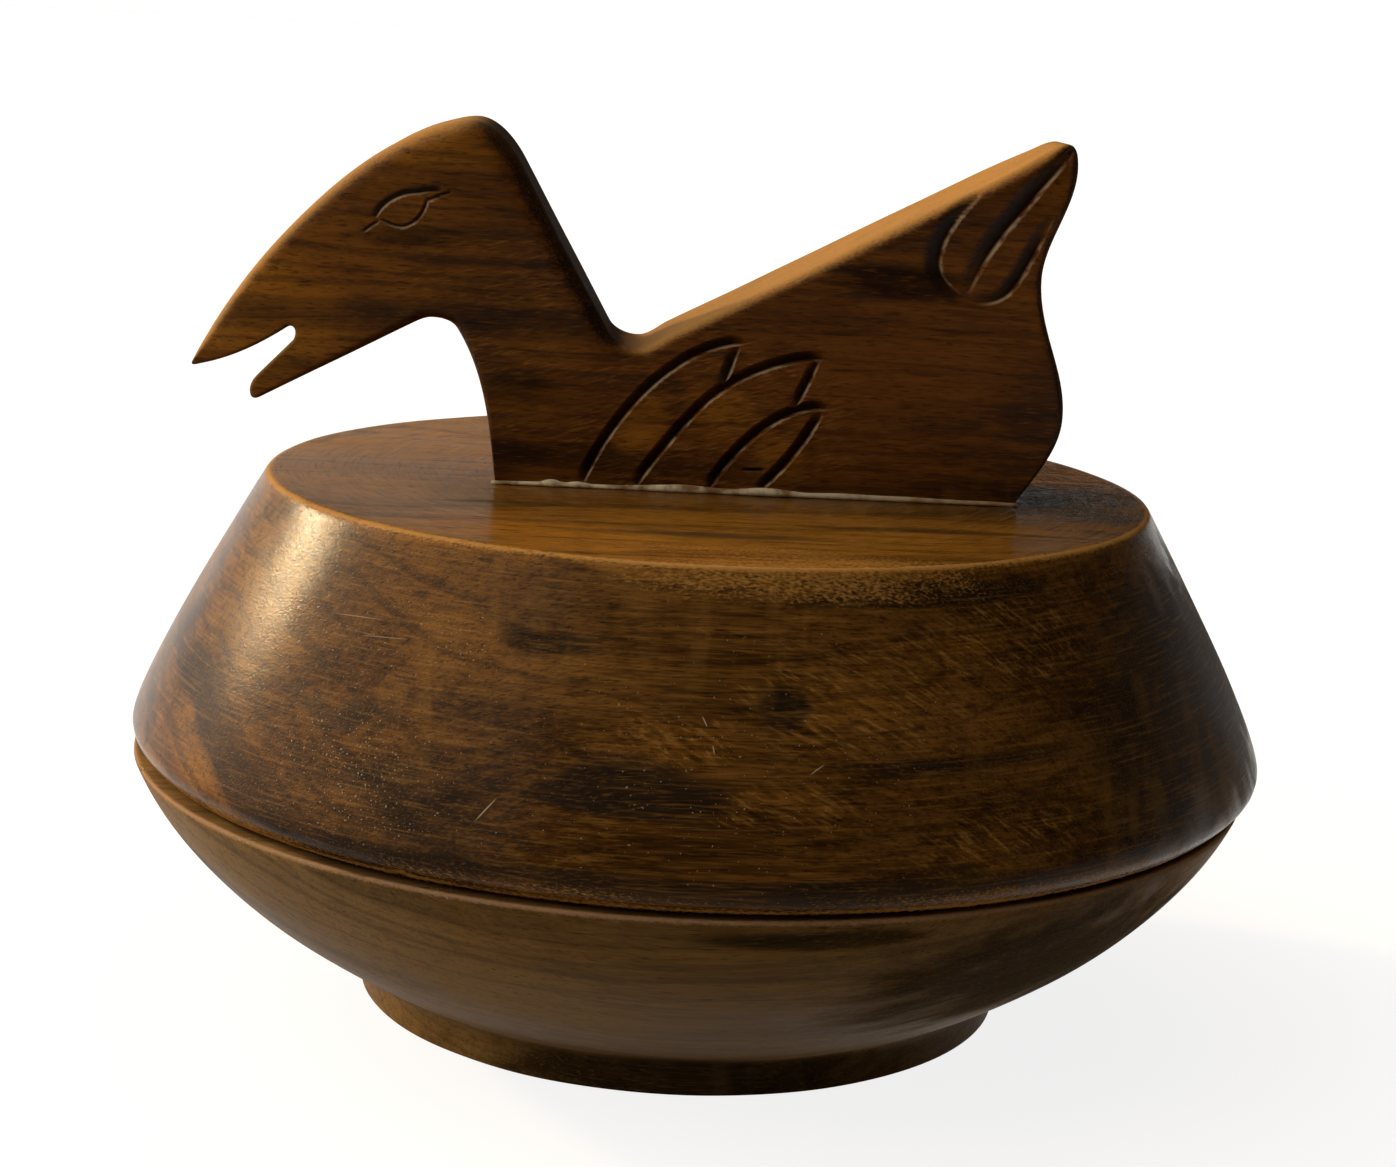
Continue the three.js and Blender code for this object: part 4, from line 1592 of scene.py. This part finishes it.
@dataclass
class GlueLine:
    """The lumpy bead of dried glue round the foot of the bird."""

    thickest: float = 1.05 * MM
    thinnest: float = 0.65 * MM
    end_share: float = 0.55
    step: float = 0.8 * MM
    sides: int = 12
    proud: float = 0.15 * MM
    # How far the bead's middle lies over the lid, as a share of its size.
    lift: float = 0.6
    lump_length: float = 11 * MM
    blobs: tuple[Spot, ...] = (
        Spot((-33.0, -19.0, 116.0), (2.2, 4.0, 9.0), 0.35 * MM),
        Spot((-27.0, -19.0, 116.0), (2.6, 4.0, 9.0), 0.25 * MM),
    )

    def build(self, bird: BirdHandle, finish: GlueFinish) -> None:
        """Lays the bead on the lid's top along the bird's base.

        Args:
            bird: the bird whose base it follows.
            finish: its surface.
        """
        lid_low, lid_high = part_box("lid")
        centre_x = (lid_low.x + lid_high.x) / 2
        half = bird.thickness / 2 + self.proud
        toe, heel = -bird.base_to_toe - self.proud, bird.base_to_heel + self.proud
        line = Stroke((toe, -half), self.step)
        for corner in ((heel, -half), (heel, half), (toe, half), (toe + self.step, -half + self.step)):
            line.line_to(corner)
        path = np.array(line.points[:-1])
        ahead = np.roll(path, -1, axis=0) - np.roll(path, 1, axis=0)
        ahead /= np.linalg.norm(ahead, axis=1)[:, None]
        outward = np.column_stack([ahead[:, 1], -ahead[:, 0]])
        angles = np.linspace(0, 2 * math.pi, self.sides, endpoint=False)
        places = []
        for (x, y), out in zip(path, outward):
            lump = noise.noise(Vector((x, y, 0.0)) / self.lump_length)
            fullness = min(max(NOISE_MIDDLE + lump, 0.0), 1.0)
            size = self.thinnest + (self.thickest - self.thinnest) * fullness
            size *= 1 - (1 - self.end_share) * ((2 * x - toe - heel) / (heel - toe)) ** 2
            here = np.array([[centre_x + x, bird.setback + y, lid_high.z]])
            size += max(float(blob.spread(here)[0]) for blob in self.blobs)
            for angle in angles:
                spread = size * math.cos(angle)
                places.append((
                    centre_x + x + out[0] * spread,
                    bird.setback + y + out[1] * spread,
                    lid_high.z + size * max(math.sin(angle) + self.lift, 0.0),
                ))
        count, sides = len(path), self.sides
        faces = [
            (i * sides + k, (i + 1) % count * sides + k, (i + 1) % count * sides + (k + 1) % sides,
             i * sides + (k + 1) % sides)
            for i in range(count) for k in range(sides)
        ]
        mesh = bpy.data.meshes.new("glue_line")
        mesh.from_pydata(places, [], faces)
        mesh.update()
        make_piece("glue_line", mesh, finish, Slot.BIRD, "lid", crease=80.0)


@dataclass
class Dowels:
    """The two plain dowels that stand hidden between lid and bird, kept as the frame has them."""

    nodes: tuple[str, ...] = ("dowel_front", "dowel_rear")

    def dress(self, finish: WoodFinish) -> None:
        """Gives both CAD nodes their wood.

        Args:
            finish: their wood.
        """
        material = finish.material()
        for name in self.nodes:
            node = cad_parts[name]
            node.data.materials.clear()
            node.data.materials.append(material)
            LOG.info("%s: CAD node dressed", name)


@dataclass(frozen=True)
class Lamp:
    """A soft lamp far off: where its light comes from, how strong and how wide it is, and its tint."""

    name: str
    direction: Triple
    strength: float
    spread: float
    tint: str

    def build(self) -> None:
        """Makes the lamp."""
        lamp = bpy.data.lights.new(self.name, "SUN")
        lamp.energy = self.strength
        lamp.color = linear(self.tint)[:3]
        lamp.angle = math.radians(self.spread)
        holder = bpy.data.objects.new(self.name, lamp)
        holder.rotation_mode = "QUATERNION"
        holder.rotation_quaternion = Vector(self.direction).to_track_quat("Z", "Y")
        bpy.context.scene.collection.objects.link(holder)


@dataclass
class Studio:
    """A pale floor, soft lamps at the left and above, and a dim surround that is brighter at the left."""

    lamps: tuple[Lamp, ...] = (
        Lamp("window_lamp", (-0.80, 0.49, 0.33), 1.9, 5.0, "#ffe0ac"),
        Lamp("raking_lamp", (-0.95, -0.05, 0.38), 2.1, 90.0, "#fff6e8"),
        Lamp("ceiling_lamp", (-0.40, 0.20, 0.90), 0.8, 100.0, "#fff6e8"),
    )
    brightest_way: Triple = (-0.78, 0.60, 0.20)
    bright: float = 0.95
    dim: float = 0.03
    dim_until: float = 0.5
    tint: str = "#fff3de"
    floor_colour: str = "#94918c"
    floor_glow: float = 0.85
    floor_size: float = 60.0
    floor_facets: int = 64
    wall_height: float = 0.9

    def build(self) -> None:
        """Makes the lamps, the surround and the floor."""
        for lamp in self.lamps:
            lamp.build()
        self._surround(Vector(self.brightest_way).normalized())
        self._floor()

    def _surround(self, aim: Vector) -> None:
        """Makes a surround that grows brighter in one direction.

        Args:
            aim: that direction.
        """
        world = bpy.data.worlds.new("surround")
        bpy.context.scene.world = world
        world.use_nodes = True
        tree = world.node_tree
        way = add_node(tree, "ShaderNodeTexCoord", {}, {}).outputs["Generated"]
        dot = {"operation": "DOT_PRODUCT"}
        toward = add_node(tree, "ShaderNodeVectorMath", dot, {0: way, 1: tuple(aim)})
        ends = {"Value": toward.outputs["Value"], "From Min": self.dim_until, "From Max": 1.0,
                "To Min": self.dim, "To Max": self.bright}
        level = add_node(tree, "ShaderNodeMapRange", {"interpolation_type": "SMOOTHSTEP"}, ends)
        tree.links.new(first_output(level), tree.nodes["Background"].inputs["Strength"])
        tree.nodes["Background"].inputs["Color"].default_value = linear(self.tint)

    def _floor(self) -> None:
        """Makes a floor that turns up into a wall far off, white to the camera but for the shadow."""
        half = self.floor_size / 2
        line = [(0.0, 0.0), (half, 0.0), (half, self.wall_height)]
        angles = np.linspace(0, 2 * math.pi, self.floor_facets, endpoint=False)
        places = [(0.0, 0.0, 0.0)]
        places += [(r * math.cos(a), r * math.sin(a), z) for r, z in line[1:] for a in angles]
        count = len(angles)
        faces = [(0, 1 + i, 1 + (i + 1) % count) for i in range(count)]
        for i in range(count):
            j = (i + 1) % count
            faces.append((1 + i, 1 + count + i, 1 + count + j, 1 + j))
        mesh = bpy.data.meshes.new("floor")
        mesh.from_pydata(places, [], faces)
        mesh.materials.append(self._paper("pale_floor", self.floor_glow))
        mesh.materials.append(self._paper("pale_backdrop", 1.0))
        for face in mesh.polygons[count:]:
            face.material_index = 1
        floor = bpy.data.objects.new("floor", mesh)
        bpy.context.scene.collection.objects.link(floor)

    def _paper(self, name: str, glow: float) -> bpy.types.Material:
        """Makes matt pale studio paper, which shows white where nothing shades it.

        Args:
            name: the material's name.
            glow: what the camera and mirrors see on it besides the light that falls there.

        Returns:
            The material.
        """
        material = bpy.data.materials.new(name)
        material.use_nodes = True
        tree = material.node_tree
        shader = tree.nodes["Principled BSDF"]
        shader.inputs["Base Color"].default_value = linear(self.floor_colour)
        shader.inputs["Roughness"].default_value = 0.9
        shader.inputs["Specular IOR Level"].default_value = 0.0
        shader.inputs["Emission Color"].default_value = (1.0, 1.0, 1.0, 1.0)
        path = add_node(tree, "ShaderNodeLightPath", {}, {})
        seen = path.outputs["Is Camera Ray"]
        for kind in ("Is Glossy Ray", "Is Transmission Ray"):
            seen = add_node(tree, "ShaderNodeMath", LARGER, {0: seen, 1: path.outputs[kind]})
        strength = add_node(tree, "ShaderNodeMath", MULTIPLY, {0: seen, 1: glow})
        tree.links.new(first_output(strength), shader.inputs["Emission Strength"])
        return material


@dataclass
class PhotoCamera:
    """The camera where the photograph was taken from."""

    distance: float = 600 * MM
    azimuth: float = -2.06
    elevation: float = 11.87
    roll: float = 2.91
    focal_length: float = 69.085
    sensor_width: float = 36.0
    axis_offset: float = 0.35 * MM
    target_height: float = 92.05 * MM
    nearest: float = 10 * MM
    farthest: float = 100.0

    def build(self) -> None:
        """Places the camera and makes it the scene's own."""
        azimuth, elevation, roll = (math.radians(n) for n in (self.azimuth, self.elevation, self.roll))
        level = math.cos(elevation)
        back = Vector((math.sin(azimuth) * level, -math.cos(azimuth) * level, math.sin(elevation)))
        aside = (self.axis_offset * math.cos(azimuth), self.axis_offset * math.sin(azimuth))
        target = Vector((*aside, self.target_height))
        flat_right = (-back).cross(Vector((0.0, 0.0, 1.0))).normalized()
        flat_up = flat_right.cross(-back)
        right = flat_right * math.cos(roll) + flat_up * math.sin(roll)
        up = flat_up * math.cos(roll) - flat_right * math.sin(roll)
        data = bpy.data.cameras.new("photo_camera")
        data.lens = self.focal_length
        data.sensor_width = self.sensor_width
        data.clip_start = self.nearest
        data.clip_end = self.farthest
        camera = bpy.data.objects.new("photo_camera", data)
        turn = Matrix((right, up, back)).transposed().to_4x4()
        camera.matrix_world = Matrix.Translation(target + back * self.distance) @ turn
        bpy.context.scene.collection.objects.link(camera)
        bpy.context.scene.camera = camera


LID_FIGURE = Figure(
    stains_and_shade=(
        Spot((-30, -101, 100.4), (13, 60, 3.6), 0.9),
        Spot((-66, -95, 83.5), (20, 60, 4.6), 0.5),
        Spot((-14, -118, 77.5), (24, 60, 6.5), 1.0),
        Spot((40, -95, 111.0), (36, 60, 3.0), 1.0),
        Spot((13.5, -110, 92.0), (6, 60, 5.0), 1.0),
        Spot((44, -110, 82.0), (38, 60, 2.2), 0.9),
        Spot((47, -116, 62.7), (22, 60, 4.0), 0.6),
        Spot((-55, -112, 70.0), (20, 60, 9.0), 0.6),
        # Painted shade: a broad dark spot over the lid's right side, away from the lamps.
        Spot((104, -60, 85.0), (44, 110, 34.0), 0.9),
        Spot((0, -110, 61.0), (130, 130, 3.8), 0.8),
        Spot((4, -66, 116.0), (44, 3.5, 4.0), 0.6),
        Spot((46, -52, 116.0), (34, 4.5, 4.0), 0.6),
        Spot((-44, -40, 116.0), (26, 4.0, 4.0), 0.45),
    ),
    flames_and_light=(
        Spot((25, -108, 93.0), (17, 60, 9.0), 0.45),
        Spot((50, -95, 100.0), (22, 60, 8.0), 0.3),
        Spot((-5, -115, 86.0), (16, 60, 5.0), 0.4),
        Spot((15, -119, 76.5), (15, 60, 3.0), 0.5),
        Spot((-43, -99, 97.0), (26, 60, 11.0), 0.35),
        Spot((-60, -100, 82.0), (40, 60, 12.0), 0.3),
        # Painted reflection: an amber glow low on the lid's left side.
        Spot((-103, -74, 61.0), (36, 70, 25.0), 0.62),
        Spot((55, -112, 66.0), (18, 60, 6.0), 0.35),
        # Painted highlight: lighter wood on the lid's lit left shoulder.
        Spot((-92, -56, 98.0), (26, 60, 24.0), 0.45),
        # The lid's top: its own golden tone, made lighter as painted light from above.
        Spot((0, -60, 116.0), (110, 60, 4.0), 0.85),
        Spot((-70, 20, 116.0), (60, 110, 4.0), 1.0),
        Spot((-10, -120, 60.0), (60, 60, 5.0), 0.35),
    ),
    curls=(
        Spot((27, -108, 93.0), (26, 60, 13.0), 1.0),
        Spot((56, -95, 102.0), (24, 60, 9.0), 0.8),
        Spot((-6, -115, 86.0), (15, 60, 7.0), 0.8),
        Spot((14, -119, 76.0), (20, 60, 5.0), 0.8),
        Spot((55, -112, 68.0), (24, 60, 8.0), 0.7),
    ),
    dust=(
        Spot((-66, -100, 74.0), (34, 60, 26.0), 0.78),
        Spot((-50, -100, 98.0), (26, 60, 12.0), 0.62),
        Spot((5, -116, 80.0), (90, 60, 44.0), 0.52),
    ),
    rubs=(
        Spot((18, -92, 113.0), (52, 30, 5.0), 0.66),
        Spot((-30, -118, 59.0), (50, 30, 2.4), 0.55),
        Spot((-90, -80, 58.0), (46, 60, 2.0), 0.6),
        Spot((70, -95, 59.0), (66, 90, 2.6), 0.6),
    ),
)
LID_SCRATCHES = (
    Scratch((-43, -114.4, 69.6), (-38.6, -113.7, 74.8)),
    Scratch((-73.7, -76.1, 99.2), (-62.2, -85.1, 100.2), 0.1, 0.4),
    Scratch((-68.2, -83.4, 96.8), (-57, -90.6, 98.0), 0.1, 0.4),
    Scratch((18.4, -116.1, 81.7), (21.7, -114.2, 83.7), 0.15),
    Scratch((-1.7, -111.6, 91.0), (-0.6, -112.6, 89.0), 0.15),
    Scratch((0.4, -114.6, 86.6), (0.9, -115.6, 84.6), 0.15),
)
BIRD_FIGURE = Figure(
    stains_and_shade=(
        Spot((-66, -19, 168), (20, 40, 5), 0.5),
        Spot((-40, -19, 136), (14, 40, 5), 0.6),
        Spot((38, -19, 163), (18, 40, 5), 0.8),
        Spot((-92, -19, 155), (14, 40, 4), 0.5),
    ),
    flames_and_light=(
        Spot((-14, -19, 129), (8, 40, 12), 0.85),
        Spot((2, -19, 134), (10, 40, 9), 0.7),
        Spot((16, -19, 123), (8, 40, 8), 0.7),
        Spot((-98, -19, 148), (30, 40, 22), 0.9),
        Spot((-66, -19, 164), (50, 40, 30), 0.35),
        Spot((-62, -19, 188), (30, 40, 9), 0.7),
        Spot((-38, -19, 140), (18, 40, 32), 0.45),
        Spot((20, -19, 166), (60, 40, 8), 0.3),
    ),
    curls=(
        Spot((0, -19, 132), (40, 40, 24), 0.9),
        Spot((-45, -19, 150), (30, 40, 30), 0.6),
    ),
)
LID_WOOD = WoodFinish("monkeypod_turned_lid", body="#4f310f", light="#825724", streak="#1e1104",
                      sanding=0.22, contrast=0.5, scratches=LID_SCRATCHES)
BOWL_FIGURE = Figure(
    stains_and_shade=(
        Spot((20, -116, 51.0), (34, 60, 3.0), 0.9),
        # Painted shade over the bowl's right side, away from the lamps.
        Spot((70, -90, 36.0), (60, 90, 24.0), 0.75),
        # Painted shade at the foot, under the bowl.
        Spot((0, -70, 3.0), (60, 90, 9.0), 0.8),
    ),
    flames_and_light=(
        # Painted light: lighter wood on the bowl's lit left side.
        Spot((-80, -70, 44.0), (60, 90, 22.0), 0.9),
        Spot((-20, -100, 30.0), (60, 60, 18.0), 0.5),
    ),
    dust=(
        Spot((-88.0, -85.6, 54.9), (6, 6, 1.8), 1.1),
        Spot((-48.6, -111.7, 55.2), (5, 6, 1.6), 1.1),
        Spot((-37.2, -116.0, 54.8), (4, 6, 1.6), 1.1),
    ),
)
BOWL_WOOD = WoodFinish("monkeypod_turned_bowl", body="#76562c", light="#98743e", streak="#443016",
                       gloss=0.03, smoothest=0.42, roughest=0.58, streak_share=0.6, contrast=0.35,
                       worn="#b08a68", flame="#98794f", crumble=0.5, sanding=0.1, feathering=0.2,
                       seed=4.0)
BIRD_WOOD = WoodFinish("monkeypod_carved_bird", body="#4e2c0d", light="#84501c", streak="#241304",
                       pith=(60 * MM, -330 * MM), seed=9.0, streak_width=13 * MM, gloss=0.09,
                       strand_length=16 * MM, fibre_length=3.5 * MM, smoothest=0.34, roughest=0.48,
                       contrast=0.45, crumble=0.3, feather_turn=-16.0, feather_length=4 * MM,
                       feather_width=0.5 * MM, feathering=0.4)
DOWEL_WOOD = WoodFinish("birch_dowel", body="#c29a68", light="#d8b88a", streak="#a87f50", gloss=0.3,
                        smoothest=0.6, roughest=0.75, streak_share=0.3, contrast=0.3)


def main() -> None:
    """Builds the studio and the pieces in order."""
    logging.basicConfig(level=logging.INFO, format="%(message)s")
    bpy.context.scene.view_settings.view_transform = "Standard"
    PhotoCamera().build()
    Studio().build()
    Bowl(figure=BOWL_FIGURE).build(BOWL_WOOD)
    Lid(figure=LID_FIGURE).build(LID_WOOD)
    bird = BirdHandle(figure=BIRD_FIGURE)
    bird.build(BIRD_WOOD)
    GlueLine().build(bird, GlueFinish())
    Dowels().dress(DOWEL_WOOD)


if __name__ == "__main__":
    main()
